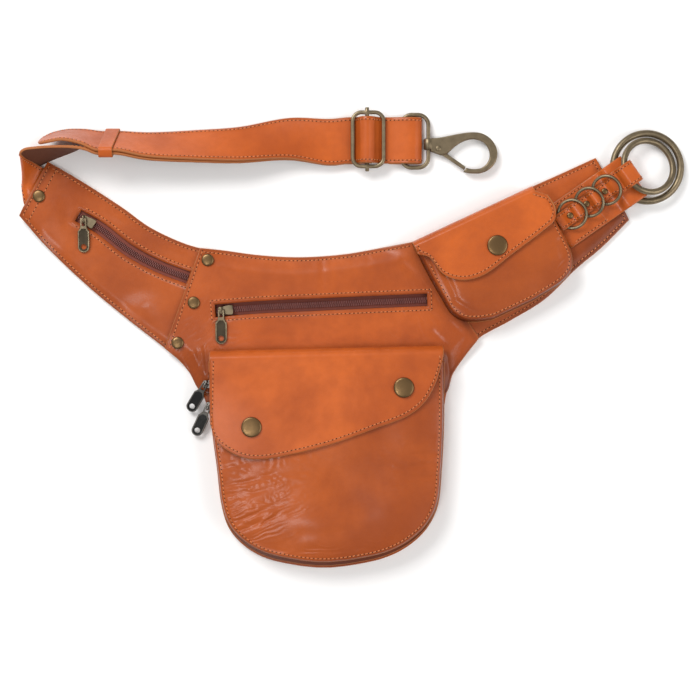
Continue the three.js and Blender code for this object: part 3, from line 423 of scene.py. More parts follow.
def material_of(name):
    """The material of that name, made when it is first asked for."""
    if name in bpy.data.materials:
        return bpy.data.materials[name]
    c = colours()
    # Colour, width of one fibre in metres, roughness
    fibres = {
        # The hide's back: brown and dull
        "flesh_side": (c.flesh, 0.0008, 0.95),
        # The raw edge: paler than the grain, a thin light line round each piece
        "cut_edge": (c.cut_edge, 0.0005, 0.7),
        # The awl's hole between two stitches: a dark dot of painted shade that stands for the shadowed hole
        "needle_hole_shadow": (darker(c.flesh, 0.35), 0.0005, 0.9),
    }
    # Bright and dark colour, roughness, share of metal
    metals = {
        # Zinc plated as old brass: a grey gold, satin, with brown drifts
        "antiqued_plate": (c.brass, c.brass_dark, 0.4, 0.9),
        # Brass caps rubbed by hands: warmer, with a soft ring of light on the crown
        "rubbed_brass": (c.rubbed, darker(c.rubbed, 0.45), 0.34, 0.9),
        # Patina in a pull's sunk face: dark and dull within its bright edge
        "brass_patina": (c.brass_dark, darker(c.brass_dark, 0.5), 0.5, 0.8),
        # Gunmetal plate worn on its edges: cold grey and shiny
        "worn_gunmetal": (c.gunmetal, darker(c.gunmetal, 0.4), 0.3, 0.9),
        # Lacquer in a dark pull's sunk face: black with a small glint
        "black_lacquer": (darker(c.gunmetal, 0.035), darker(c.gunmetal, 0.02), 0.25, 0.0),
        # A moulded zip: wine brown, a dull shine on each tooth
        "moulded_teeth": (c.teeth, darker(c.teeth, 0.3), 0.35, 0.0),
    }
    if name in fibres:
        return leather_fibre(name, *fibres[name])
    if name in metals:
        return tumbled_metal(name, *metals[name])
    others = (waxed_tan_leather, waxed_thread, woven_zip_tape, studio_paper)
    return {maker.__name__: maker for maker in others}[name]()


# Shapes on the plan, all in millimetres until a mesh is made


def spot(column, row, height=0.0):
    """Places on the plan in millimetres; a point at a height looks further out than it is."""
    shrink = 1 - np.asarray(height, float) / EYE_HEIGHT
    c = EYE_PLACE[0] + (np.asarray(column, float) - EYE_PLACE[0]) * shrink
    r = EYE_PLACE[1] + (np.asarray(row, float) - EYE_PLACE[1]) * shrink
    x, y = (c - PLAN_MIDDLE[0]) * MM_PER_STEP, (PLAN_MIDDLE[1] - r) * MM_PER_STEP
    return np.stack(np.broadcast_arrays(x, y, height * np.ones_like(x)), axis=-1)


def tilted(origin, degrees):
    """A plan with its own origin and tilt."""
    c, s = math.cos(math.radians(degrees)), math.sin(math.radians(degrees))

    def plan(along, across, height=0.0):
        along, across = np.asarray(along, float), np.asarray(across, float)
        return spot(origin[0] + along * c + across * s, origin[1] - along * s + across * c, height)

    return plan


side_plan = tilted(SIDE_ORIGIN, SIDE_TILT)
ring_plan = tilted(RING_ORIGIN, RING_TILT)


def shares(count):
    """Even shares from 0 to 1."""
    return np.linspace(0, 1, count)


def turns(count):
    """Even steps of a full turn."""
    return np.linspace(0, 2 * math.pi, count, endpoint=False)


def smooth(t):
    t = np.clip(t, 0, 1)
    return t * t * (3 - 2 * t)


def mix(a, b, t):
    return a + (b - a) * t


def unit(v):
    return v / np.maximum(np.linalg.norm(v, axis=-1, keepdims=True), 1e-9)


def curve_at(points, t):
    """Places on a smooth curve through the points, t from 0 to 1."""
    p = np.asarray(points, float)
    ends = np.vstack([2 * p[0] - p[1], p, 2 * p[-1] - p[-2]])
    s = np.clip(np.asarray(t, float), 0, 1) * (len(p) - 1)
    i = np.minimum(s.astype(int), len(p) - 2)
    w = (s - i)[..., None]
    a, b, c, d = (ends[i + k] for k in range(4))
    spans = ((a, b), (b, c), (c, d))
    g0, g1, g2 = (np.maximum(np.linalg.norm(y - x, axis=-1, keepdims=True), 1e-6) ** 0.5 for x, y in spans)
    leave = ((b - a) / g0 - (c - a) / (g0 + g1) + (c - b) / g1) * g1
    arrive = ((c - b) / g1 - (d - b) / (g1 + g2) + (d - c) / g2) * g1
    w2, w3 = w * w, w * w * w
    return b * (2 * w3 - 3 * w2 + 1) + c * (3 * w2 - 2 * w3) + leave * (w3 - 2 * w2 + w) + arrive * (w3 - w2)


def run_of(places):
    """The way along a line of places, from its start to each of them."""
    return np.concatenate([[0], np.cumsum(np.linalg.norm(np.diff(places, axis=0), axis=1))])


def evenly(points, t, samples=400):
    """Places at even shares of a curve's length."""
    fine = shares(samples)
    run = run_of(curve_at(points, fine))
    return curve_at(points, np.interp(np.asarray(t, float) * run[-1], run, fine))


def plan_table(table, plan=spot, height=0.0):
    return np.array([plan(c, r, height) for c, r in table])


def distance_to(path, x, y):
    """Distance on the plan from places to a line of points."""
    best = np.full(np.shape(x), 1e9)
    for a, b in zip(path[:-1], path[1:]):
        step = b[:2] - a[:2]
        along = ((x - a[0]) * step[0] + (y - a[1]) * step[1]) / max(step @ step, 1e-9)
        along = np.clip(along, 0, 1)
        best = np.minimum(best, np.hypot(x - a[0] - along * step[0], y - a[1] - along * step[1]))
    return best


def fading(distance, reach):
    """One at no distance, falling away over a reach."""
    return np.exp(-((distance / reach) ** 2))


# Waves: how many, the first one's pace and the next one's, their level, and their turns and phases
WAVE_COUNT, WAVE_PACE, WAVE_STEP, WAVE_LEVEL = 5, 0.7, 0.17, 3
SEED_TURN, NEXT_TURN, SEED_PHASE, NEXT_PHASE = 1.7, 2.4, 3.1, 1.9
# Soft swelling of each piece: height, size and seed of its waves
SWELLS = {
    "left_wing": [(0.36, 46, 1), (0.08, 24, 9)],
    "right_wing": [(0.12, 46, 2)],
    "centre_panel": [(0.3, 60, 3)],
    "front_pocket": [(0.75, 74, 4), (0.08, 23, 5)],
    "side_pocket": [(0.4, 46, 6)],
    "pouch_flap": [(0.22, 66, 7)],
    "side_flap": [(0.16, 44, 8)],
}


def waves(x, y, size, seed):
    """Gentle uneven swelling of about one millimetre either way, before it is scaled."""
    total = np.zeros(np.shape(x))
    for i in range(WAVE_COUNT):
        turn = seed * SEED_TURN + i * NEXT_TURN
        pace = 2 * math.pi / (size * (WAVE_PACE + WAVE_STEP * i))
        lie = x * math.cos(turn) + y * math.sin(turn)
        total += np.sin(pace * lie + seed * SEED_PHASE + i * NEXT_PHASE)
    return total / WAVE_LEVEL


def swelling(name, x, y):
    return sum(height * waves(x, y, size, seed) for height, size, seed in SWELLS[name])


# A crease sets in quickly at its first end and runs out towards its second
CREASE_PACE, CREASE_START, CREASE_FADE = 6, 0.5, 1.6


def creased(x, y, creases):
    """Creases as drawn lines on the plan with their depth and width: a hollow with a soft bulge beside it."""
    total = np.zeros(np.shape(x))
    for c1, r1, c2, r2, depth, width in creases:
        ends = plan_table([(c1, r1), (c2, r2)])
        q = (distance_to(ends, x, y) / width) ** 2
        run = ends[1] - ends[0]
        share = ((x - ends[0][0]) * run[0] + (y - ends[0][1]) * run[1]) / (run[0] ** 2 + run[1] ** 2)
        strength = smooth(CREASE_PACE * share + CREASE_START) * smooth(CREASE_FADE * (1 - share))
        total -= depth * strength * (1 - q) * np.exp(-q)
    return total


# Crumpled patches: column and row of the middle, half length and half width on the plan, lie, spacing, height
FRONT_CRUMPLES = [
    (246, 478, 62, 30, 10, 3.2, 0.85), (258, 512, 46, 20, 24, 3.4, 0.8), (424, 460, 40, 26, 6, 3.2, 0.75),
    (330, 550, 60, 10, 4, 5.0, 0.25), (232, 456, 26, 18, 14, 2.8, 0.7), (236, 500, 22, 14, 30, 3.0, 0.6),
]
SIDE_CRUMPLES = [(436, 282, 16, 40, -62, 3.4, 0.35), (545, 262, 24, 24, 40, 4.4, 0.2)]
CENTRE_CRUMPLES = [
    (200, 330, 30, 34, 48, 3.0, 0.42), (203, 374, 14, 28, 64, 2.6, 0.4), (438, 300, 24, 50, -60, 4.4, 0.35),
    (350, 275, 70, 22, 40, 5.0, 0.2), (454, 348, 22, 26, 58, 3.2, 0.35), (212, 296, 24, 22, 40, 3.2, 0.3),
    (250, 336, 36, 10, 14, 3.6, 0.3),
]
# Wrinkles: the waves by which they wander (height, stretch along and across, size, seed), breaks, ridges
WANDERS = [(0.8, 0.3, 0.8, 15, 1), (0.3, 0.5, 1.0, 9, 3)]
BREAK_MIDDLE, BREAK_SPREAD, BREAK_STRETCH, BREAK_SIZE, BREAK_SEED = 0.5, 0.7, 0.45, 12, 6
RIDGE_POWER, RIDGE_BASE = 1.4, 0.4


def crumpled(x, y, patches):
    """Patches of fine wrinkles: ridges that wander, break off and fade towards the patch's edge."""
    total = np.zeros(np.shape(x))
    for k, (column, row, long, wide, lie, spacing, height) in enumerate(patches):
        middle = spot(column, row)
        c, s = math.cos(math.radians(lie)), math.sin(math.radians(lie))
        along = (x - middle[0]) * c + (y - middle[1]) * s
        across = (y - middle[1]) * c - (x - middle[0]) * s
        fade = fading(along, long * MM_PER_STEP) * fading(across, wide * MM_PER_STEP)
        wander = sum(h * waves(a * along, b * across, size, k + seed) for h, a, b, size, seed in WANDERS)
        ridge = 1 - np.abs(np.sin(math.pi * (across / spacing + wander)))
        gaps = waves(BREAK_STRETCH * along, across, BREAK_SIZE, k + BREAK_SEED)
        broken = np.clip(BREAK_MIDDLE + BREAK_SPREAD * gaps, 0, 1)
        total += height * fade * broken * (ridge**RIDGE_POWER - RIDGE_BASE)
    return total


# Meshes


def lattice(rows, columns, closed=True):
    """Faces between rows of vertices; each row is a ring when closed."""
    i, j = np.meshgrid(np.arange(rows - 1), np.arange(columns if closed else columns - 1), indexing="ij")
    here, beside = (i * columns + j).ravel(), (i * columns + (j + 1) % columns).ravel()
    return np.stack([here, beside, beside + columns, here + columns], axis=1)


def tube_faces(rings, sides):
    """Faces of rings of vertices, with a cap at both ends."""
    ends = [list(range(sides - 1, -1, -1)), list(range((rings - 1) * sides, rings * sides))]
    return lattice(rings, sides).tolist() + ends


def hoop_faces(rings, sides):
    """Faces of rings of vertices that close on themselves, outside out."""
    return lattice(rings + 1, sides)[:, [0, 3, 2, 1]] % (rings * sides)


def piece(name, vertices, faces, materials, slots=None, shade=None, smooth_faces=True):
    """A mesh object from millimetre places, with its materials and the shade of its seams and folds."""
    mesh = bpy.data.meshes.new(name)
    mesh.from_pydata((np.asarray(vertices, float) * METRES).tolist(), [], [list(map(int, f)) for f in faces])
    for m in materials:
        mesh.materials.append(material_of(m))
    if slots is not None:
        mesh.polygons.foreach_set("material_index", np.asarray(slots, dtype=np.int32))
    if shade is not None:
        tones = mesh.attributes.new("shade", "FLOAT", "POINT").data
        tones.foreach_set("value", np.asarray(shade, dtype=np.float32))
    mesh.polygons.foreach_set("use_smooth", [smooth_faces] * len(mesh.polygons))
    mesh.update()
    obj = bpy.data.objects.new(name, mesh)
    bpy.context.scene.collection.objects.link(obj)
    return obj


def dressed(obj, body, slot, *nodes):
    """The piece rides on its body and stands for its solids; its slot is not used."""
    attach(obj, body)
    if nodes:
        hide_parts(*nodes)
    return obj


RIM_STEPS = 4
RIM_BULGE = 0.55
LEATHER = ("waxed_tan_leather", "cut_edge", "flesh_side")
# A strip that is folded flesh to flesh shows its grain on both sides
FOLDED_LEATHER = ("waxed_tan_leather", "cut_edge", "waxed_tan_leather")


def normals_of(grid):
    return unit(np.cross(np.gradient(grid, axis=1), np.gradient(grid, axis=0)))


def leather_sheet(name, grid, thickness, shade=None, materials=LEATHER):
    """A closed sheet of leather round a grid: grain above, flesh below, a rounded cut edge between."""
    rows, columns, _ = grid.shape
    half, count = thickness / 2, rows * columns
    index = np.arange(count).reshape(rows, columns)
    loop = np.concatenate([index[0, :], index[1:, -1], index[-1, -2::-1], index[-2:0:-1, 0]])
    flat, normal = grid.reshape(-1, 3), normals_of(grid).reshape(-1, 3)
    edge, edge_normal = flat[loop], normal[loop]
    tangent = unit(np.roll(edge, -1, axis=0) - np.roll(edge, 1, axis=0))
    outward = unit(np.cross(tangent, edge_normal))
    places = [flat + normal * half, flat - normal * half]
    rings = [loop]
    for k in range(1, RIM_STEPS):
        turn = math.pi * k / RIM_STEPS
        bulge = outward * half * RIM_BULGE * math.sin(turn)
        places.append(edge + edge_normal * half * math.cos(turn) + bulge)
        rings.append(2 * count + (k - 1) * len(loop) + np.arange(len(loop)))
    rings.append(loop + count)
    top = lattice(rows, columns, closed=False)
    faces = [top, top[:, ::-1] + count]
    slots = [np.zeros(len(top)), np.full(len(top), 2)]
    for one, two in zip(rings[:-1], rings[1:]):
        faces.append(np.stack([one, two, np.roll(two, -1), np.roll(one, -1)], axis=1))
        slots.append(np.ones(len(loop)))
    vertices = np.concatenate(places)
    tone = np.zeros(len(vertices))
    if shade is not None:
        tone[:count] = shade.ravel()
    return piece(name, vertices, np.concatenate(faces), materials, np.concatenate(slots), tone)


def leather_piece(
    name, grid, thickness, shade=None, slot="leather", tools=(), folded=False, materials=LEATHER
):
    """A leather sheet that tools are cut out of and that stands for the solid of its name."""
    made = leather_sheet(name + "_leather", grid, thickness, shade, materials)
    return dressed(cut_by(made, *tools, folded=folded), "bag", slot, name)


def grid_of(surface, us, vs):
    u, v = np.meshgrid(us, vs)
    return surface(u, v)


def on_surface(surface, u, v, lift):
    """Places on a surface, raised along its normal, and those normals."""
    u, v = np.asarray(u, float), np.asarray(v, float)
    small = 2e-3
    du = surface(np.minimum(u + small, 1), v) - surface(np.maximum(u - small, 0), v)
    dv = surface(u, np.minimum(v + small, 1)) - surface(u, np.maximum(v - small, 0))
    normal = unit(np.cross(du, dv))
    return surface(u, v) + normal * lift, normal


STITCH_SIDES = 6
# A stitch: share of its length and width there; its sink at the ends, flatness, and reach of its direction
STITCH_PROFILE = [(-0.5, 0.35), (-0.42, 0.85), (-0.2, 1.0), (0.2, 1.0), (0.42, 0.85), (0.5, 0.35)]
STITCH_SINK, STITCH_FLAT, STITCH_LEAD = 0.9, 0.8, 0.4
# A needle hole, a dark dot of painted shade: half length, half width, depth, and the share of its depth that
# is sunk
HOLE_LONG, HOLE_WIDE, HOLE_DEPTH, HOLE_SUNK = 0.52, 0.42, 0.24, 0.7
# How far a seam lies above its leather
SEAM_LIFT = 0.12


def stitches(seams):
    """Vertices, faces and slots of the stitches, and of the dark dots of painted shade that stand for the
    needle holes between them, along each seam.
    """
    s = sizes()
    pitch, length, radius = s.stitch_pitch / METRES, s.stitch_length / METRES, s.thread / METRES / 2
    vertices, faces, slots = [], [], []
    ring = turns(STITCH_SIDES)

    def add_tube(sections, slot):
        start = len(vertices)
        made = tube_faces(len(sections), STITCH_SIDES)
        faces.extend([start + i for i in face] for face in made)
        slots.extend([slot] * len(made))
        for centre, wide, high in sections:
            vertices.extend(centre + math.cos(t) * wide + math.sin(t) * high for t in ring)

    for places, normals in seams:
        run = run_of(places)
        count = max(int(run[-1] / pitch), 1)
        sample = lambda values, d: np.array([np.interp(d, run, values[:, i]) for i in range(3)])
        for k in range(count):
            at = (k + 0.5) * run[-1] / count
            middle, up = sample(places, at), unit(sample(normals, at))
            lead = STITCH_LEAD * length
            along = unit(sample(places, at + lead) - sample(places, at - lead))
            side = unit(np.cross(up, along))
            sections = []
            for share, width in STITCH_PROFILE:
                sink = radius * STITCH_SINK * abs(2 * share) ** 4
                centre = middle + along * share * length - up * sink + side * share * radius
                sections.append((centre, radius * width * side, radius * width * STITCH_FLAT * up))
            add_tube(sections, 0)
            hole = sample(places, at + pitch / 2) - HOLE_SUNK * HOLE_DEPTH * up
            add_tube([(hole + lift * up, HOLE_LONG * along, HOLE_WIDE * side) for lift in (0, HOLE_DEPTH)], 1)
    return vertices, faces, slots


def thread(name, seams):
    vertices, faces, slots = stitches(seams)
    return dressed(piece(name, vertices, faces, ["waxed_thread", "needle_hole_shadow"], slots), "bag", "leather")


def seam(surface, us, vs, thickness):
    return on_surface(surface, us, vs, thickness / 2 + SEAM_LIFT)


def flat_seam(places, height):
    """A seam at the places' height over the plan."""
    places[:, 2] = height(places[:, 0], places[:, 1]) + PANEL / 2 + SEAM_LIFT
    return places, np.tile([0.0, 0.0, 1.0], (len(places), 1))


def baked(obj):
    """The object with its modifiers applied."""
    graph = bpy.context.evaluated_depsgraph_get()
    mesh = bpy.data.meshes.new_from_object(obj.evaluated_get(graph))
    old = obj.data
    obj.modifiers.clear()
    obj.data = mesh
    mesh.name = obj.name
    bpy.data.meshes.remove(old)
    return obj


def cut_by(obj, *tools, folded=False, operation="DIFFERENCE"):
    """Cuts tools out of an object, which may be folded tightly on itself, and removes them."""
    for tool in tools:
        change = obj.modifiers.new("cut", "BOOLEAN")
        change.object, change.operation, change.solver, change.use_self = tool, operation, "EXACT", folded
        change.material_mode = "TRANSFER"
        baked(obj)
        bpy.data.objects.remove(tool)
    return obj


def joined_to(obj, *others):
    """Fuses closed meshes into one."""
    return cut_by(obj, *others, operation="UNION")


def slab(name, outline, low, high, materials, bevel=0.0, segments=2):
    """A flat plate from an outline, its edges rounded by a bevel."""
    outline = np.asarray(outline)[:, :2]
    x, y = outline.T
    if np.sum(x * np.roll(y, -1) - y * np.roll(x, -1)) < 0:
        outline = outline[::-1]
    vertices = [(x, y, z) for z in (low, high) for x, y in outline]
    obj = piece(name, vertices, tube_faces(2, len(outline)), materials, smooth_faces=bevel > 0)
    if bevel > 0:
        bm = bmesh.new()
        bm.from_mesh(obj.data)
        rims = [e for e in bm.edges if abs(e.verts[0].co.z - e.verts[1].co.z) < 1e-7]
        bmesh.ops.bevel(
            bm, geom=rims, offset=bevel * METRES, segments=segments, profile=0.5, affect="EDGES",
            clamp_overlap=True,
        )
        for f in bm.faces:
            f.smooth = abs(f.normal.z) < 0.999
        bm.to_mesh(obj.data)
        bm.free()
    return obj


def band_outline(path, width, margin, steps=48):
    """Outline of an even band along a plan curve."""
    t = np.linspace(0, 1, steps)
    middle = curve_at(plan_table(path), t)
    along = unit(np.gradient(middle, axis=0))
    middle[0] -= along[0] * margin
    middle[-1] += along[-1] * margin
    across = np.stack([-along[:, 1], along[:, 0], np.zeros(steps)], axis=1) * width / 2
    return np.vstack([middle - across, (middle + across)[::-1]])


def window_distance(zip_name, x, y):
    """Distance outside a zip's window."""
    path = curve_at(plan_table(ZIPS[zip_name][0]), np.linspace(0, 1, 24))
    outside = distance_to(path, x, y) - ZIP_WINDOW / 2
    for end, inner in ((path[0], path[1]), (path[-1], path[-2])):
        ahead = unit(end - inner)
        past = (x - end[0]) * ahead[0] + (y - end[1]) * ahead[1]
        aside = np.abs((x - end[0]) * ahead[1] - (y - end[1]) * ahead[0]) - ZIP_WINDOW / 2
        outside = np.where(past > 0, np.maximum(past, aside), outside)
    return outside


# The welt at a window: its height, place and width, and the roll down into the window with its width
LIP_RISE, LIP_PLACE, LIP_WIDE, LIP_ROLL, ROLL_WIDE = 0.4, 1.7, 1.4, 0.7, 0.7


def lip(d):
    """The turned edge of a window: a low welt that rolls down into it."""
    return LIP_RISE * fading(d - LIP_PLACE, LIP_WIDE) - LIP_ROLL * fading(np.maximum(d, 0), ROLL_WIDE)


def panel_surface(lower, upper, height):
    """A panel between two edges; its height depends on the share along, the way in and the place."""
    low_points, high_points = plan_table(lower), plan_table(upper)

    def surface(u, v):
        low, high = curve_at(low_points, u), curve_at(high_points, u)
        inward = np.minimum(v, 1 - v) * np.linalg.norm(high - low, axis=-1)
        place = mix(low, high, np.asarray(v)[..., None])
        place[..., 2] = height(u, inward, place[..., 0], place[..., 1])
        return place

    return surface


WING_CREASES = [
    (104, 286, 148, 276, 0.1, 8.0), (126, 306, 168, 292, 0.1, 7.0), (64, 196, 72, 240, 0.28, 6.0),
    (146, 306, 160, 330, 0.24, 5.0), (112, 206, 140, 226, 0.25, 4.0),
]
CENTRE_CREASES = [
    (198, 350, 206, 392, 0.4, 2.6), (205, 346, 209, 388, 0.35, 2.2), (190, 352, 203, 384, 0.3, 2.6),
    (322, 262, 323, 298, 0.25, 3.0), (430, 330, 452, 352, 0.5, 3.5), (448, 322, 470, 342, 0.4, 3.0),
    (400, 262, 424, 284, 0.35, 4.0), (446, 352, 449, 384, 0.5, 2.4),
]
# How far in from an edge the swelling of the wings and the centre, and the wrinkles, are full
LEFT_EASE, RIGHT_EASE, CENTRE_EASE, WRINKLE_EASE = 10, 12, 12, 5


def wing_height(inward):
    return WING_EDGE + WING_RISE * smooth(inward / WING_ROLL)


def right_wing_height(u, inward, x, y):
    return wing_height(inward) + swelling("right_wing", x, y) * smooth(inward / RIGHT_EASE)


def left_wing_height(u, inward, x, y):
    lift = STRAP_LIFT * (1 - smooth((u - LIFT_FROM) / LIFT_OVER))
    soft = swelling("left_wing", x, y) + creased(x, y, WING_CREASES)
    return wing_height(inward) + lift + lip(window_distance("left", x, y)) + soft * smooth(inward / LEFT_EASE)


def centre_height(u, inward, x, y):
    near_seam = 1 - smooth(np.minimum(u, 1 - u) / SEAM_SHARE)
    edge = mix(WING_EDGE, CENTRE_EDGE, near_seam)
    flat = mix(edge, CENTRE_TOP, smooth(inward / CENTRE_ROLL))
    soft = swelling("centre_panel", x, y) * smooth(inward / CENTRE_EASE) + creased(x, y, CENTRE_CREASES)
    soft = soft + crumpled(x, y, CENTRE_CRUMPLES) * smooth(inward / WRINKLE_EASE)
    return flat + lip(window_distance("centre", x, y)) + soft


# Where the wings end under the centre panel: lower and upper corner
LEFT_UNDER, RIGHT_UNDER = ((174, 355), (208, 250)), ((469, 349), (402, 245))
left_wing = panel_surface([*LEFT_LOWER, LEFT_UNDER[0]], [*LEFT_UPPER[::-1], LEFT_UNDER[1]], left_wing_height)
right_wing = panel_surface(
    [RIGHT_UNDER[0], *RIGHT_LOWER], [RIGHT_UNDER[1], *RIGHT_UPPER[::-1]], right_wing_height
)
centre_panel = panel_surface(CENTRE_LOWER, CENTRE_UPPER[::-1], centre_height)


# How far from a panel's end an inset is looked for, and in how many steps
INSET_REACH, INSET_SAMPLES = 0.4, 500


def inset_share(surface, distance, end):
    """The share u at which a panel's row lies that far in from its end."""
    t = np.linspace(0, INSET_REACH, INSET_SAMPLES)
    u = t if end == 0 else 1 - t
    run = np.linalg.norm(surface(u, np.full_like(u, 0.5)) - surface(u[:1], np.full(1, 0.5)), axis=1)
    return float(np.interp(distance, run, u))


def edge_seam(surface, distance, low, u_from, u_to, steps=160):
    """A seam that runs along a panel's lower or upper edge."""
    u = np.linspace(u_from, u_to, steps)
    width = np.linalg.norm(surface(u, np.ones_like(u)) - surface(u, np.zeros_like(u)), axis=1)
    v = distance / width
    return seam(surface, u, v if low else 1 - v, PANEL)


def end_seam(surface, distance, end, v_from=0.03, v_to=0.97, steps=80):
    """A seam that runs across a panel, parallel to one of its ends."""
    v = np.linspace(v_from, v_to, steps)
    return seam(surface, np.full_like(v, inset_share(surface, distance, end)), v, PANEL)


def closed(path):
    return np.vstack([path, path[:1]])


def refined(path, steps):
    """A line with even steps between each two of its places."""
    return np.concatenate([np.linspace(a, b, steps, endpoint=False) for a, b in zip(path[:-1], path[1:])])


# A place on a panel that is away from its edges and ends: share along, way in
FAR_ALONG, FAR_IN = 0.5, 20.0
WINDOW_STEPS, SEAM_STEPS = 80, 12


def window_seam(panel_height, zip_name, distance):
    """A seam round a zip's window."""
    outline = band_outline(ZIPS[zip_name][0], ZIP_WINDOW + 2 * distance, distance, WINDOW_STEPS)
    height = lambda x, y: panel_height(np.full_like(x, FAR_ALONG), np.full_like(x, FAR_IN), x, y)
    return flat_seam(refined(closed(outline), SEAM_STEPS), height)


# Painted shade: how much darker each piece is than the raised flaps and straps; the side pocket lies under
# its flap, and the middle pocket shows only as the shadowed gap behind the front pocket
PIECE_SHADE = {
    "left_wing": 0.3, "right_wing": 0.32, "centre_panel": 0.16, "rear_pocket": 0.2, "middle_pocket": 0.8,
    "front_pocket": 0.29, "side_pocket": 0.38,
}
# The right wing's end, painted shade deepest at its lower edge and lifted at its upper: tone at its lower and
# upper edge, pace between them, where along the wing it sets in
END_LOW, END_HIGH, END_PACE, END_FROM, END_OVER = 0.5, -0.22, 1.6, 0.55, 0.3
# Darker along edges and at windows, and painted shade beside the pouch and the side pocket: tone and reach
EDGE_DARKENING, WINDOW_DARKENING, POUCH_SHADOW, POCKET_SHADOW = (0.3, 2.2), (0.35, 1.6), (0.36, 8.0), (0.3, 4.0)
# The same on a pocket's rim, along a flap's edge and along a strap's
RIM_DARKENING, FLAP_DARKENING, STRAP_DARKENING = (0.2, 2.6), (0.3, 2.0), (0.3, 1.8)
# Painted shadow on the gusset behind a pocket's face: how far in from the outline it lies, and its width
GUSSET_SHADOW_PLACE, GUSSET_SHADOW_WIDE = 1.3, 0.8
PANEL_DARKEST, POCKET_DARKEST = 0.8, 0.9


# A darkening near a line: its tone there, falling away over its reach
def darkened_by(distance, darkening):
    return darkening[0] * fading(distance, darkening[1])


def panel_shade(name, grid, zip_name):
    """A little darker along the edges, where seams and folds are, and round windows; over this each piece's
    painted shade, with more painted shade beside the pouch and the side pocket and on the right wing's end.
    """
    x, y = grid[..., 0], grid[..., 1]
    edge = np.concatenate([grid[0], grid[-1][::-1], grid[:1, 0]])
    tone = PIECE_SHADE[name] + darkened_by(distance_to(edge[::4], x, y), EDGE_DARKENING)
    if zip_name:
        tone += darkened_by(np.maximum(window_distance(zip_name, x, y), 0), WINDOW_DARKENING)
    # Painted shade over the right wing's end, deepest along its lower edge beside the side pocket
    if name == "right_wing":
        across = mix(END_LOW, END_HIGH, smooth(END_PACE * shares(grid.shape[0])))
        tone += across[:, None] * smooth((shares(grid.shape[1]) - END_FROM) / END_OVER)
    # Painted shade on the centre panel beside the pouch and the side pocket
    if name == "centre_panel":
        for form, darkening in ((SHELLS["rear_pocket"], POUCH_SHADOW), (SIDE, POCKET_SHADOW)):
            tone += darkened_by(distance_to(closed(form["outline"]), x, y), darkening)
    return np.clip(tone, 0, PANEL_DARKEST)


# How far a cutter reaches below and above the yoke, and how much wider than a pocket its opening is
CUT_LOW, CUT_HIGH = -2.0, 45.0
FOOTPRINT_GROWTH = 1.002


def cutter(outline, high=CUT_HIGH):
    return slab("cutter", outline, CUT_LOW, high, ["cut_edge"])


def footprint_cutter(form):
    middle = form["outline"].mean(axis=0)
    return cutter(middle + (form["outline"] - middle) * FOOTPRINT_GROWTH)


def bite_cutter():
    left, right, top, bottom, high = BITE
    return cutter(plan_table([(left, top), (left, bottom), (right, bottom), (right, top)]), high)


OUTLINE_STEPS = 56


def shell(rows, plan, form):
    """A pocket's shell: its two edges and its outline on the plan, and its height over a place."""
    rim, crest, foot, wall, share, shoulder, reach = form
    first = rows[0][0]
    left = np.array([plan(a, first + (r - first) * reach) for r, a, _ in rows])
    right = np.array([plan(b, first + (r - first) * reach) for r, _, b in rows])
    t = shares(OUTLINE_STEPS)
    outline = np.vstack([curve_at(left, t), curve_at(right, t)[::-1]])

    def height(x, y):
        inward = distance_to(outline, x, y) - foot
        crown = np.sin(math.pi / 2 * np.clip(inward / shoulder, 0, 1))
        return mix(rim, crest, mix(crown, smooth(inward / wall), share))

    return {"left": left, "right": right, "outline": outline, "height": height}


SHELLS = {name: shell(POUCH_ROWS, spot, form) for name, form in POUCH_SHELLS.items()}
SIDE = shell(SIDE_ROWS, side_plan, SIDE_SHELL)


# Back panel: steps along each edge, nearest that two corners may lie, rounding of its edge
BACK_STEPS, BACK_NEAREST, BACK_ROUND = 40, 0.3, 0.45
# Panels: surface, grid steps along and across, zip
PANELS = {
    "left_wing": (left_wing, (130, 74), "left"),
    "right_wing": (right_wing, (110, 60), None),
    "centre_panel": (centre_panel, (200, 96), "centre"),
}
# Seams: shares along each panel's edges and across the centre's end, second row on the left, round windows
LEFT_SEWN, RIGHT_SEWN, CENTRE_SEWN, CENTRE_END = (0.03, 0.93), (0.1, 0.98), (0.02, 0.97), (0.02, 0.98)
SECOND_ROW, WINDOW_SEAM = 3.4, 3.0


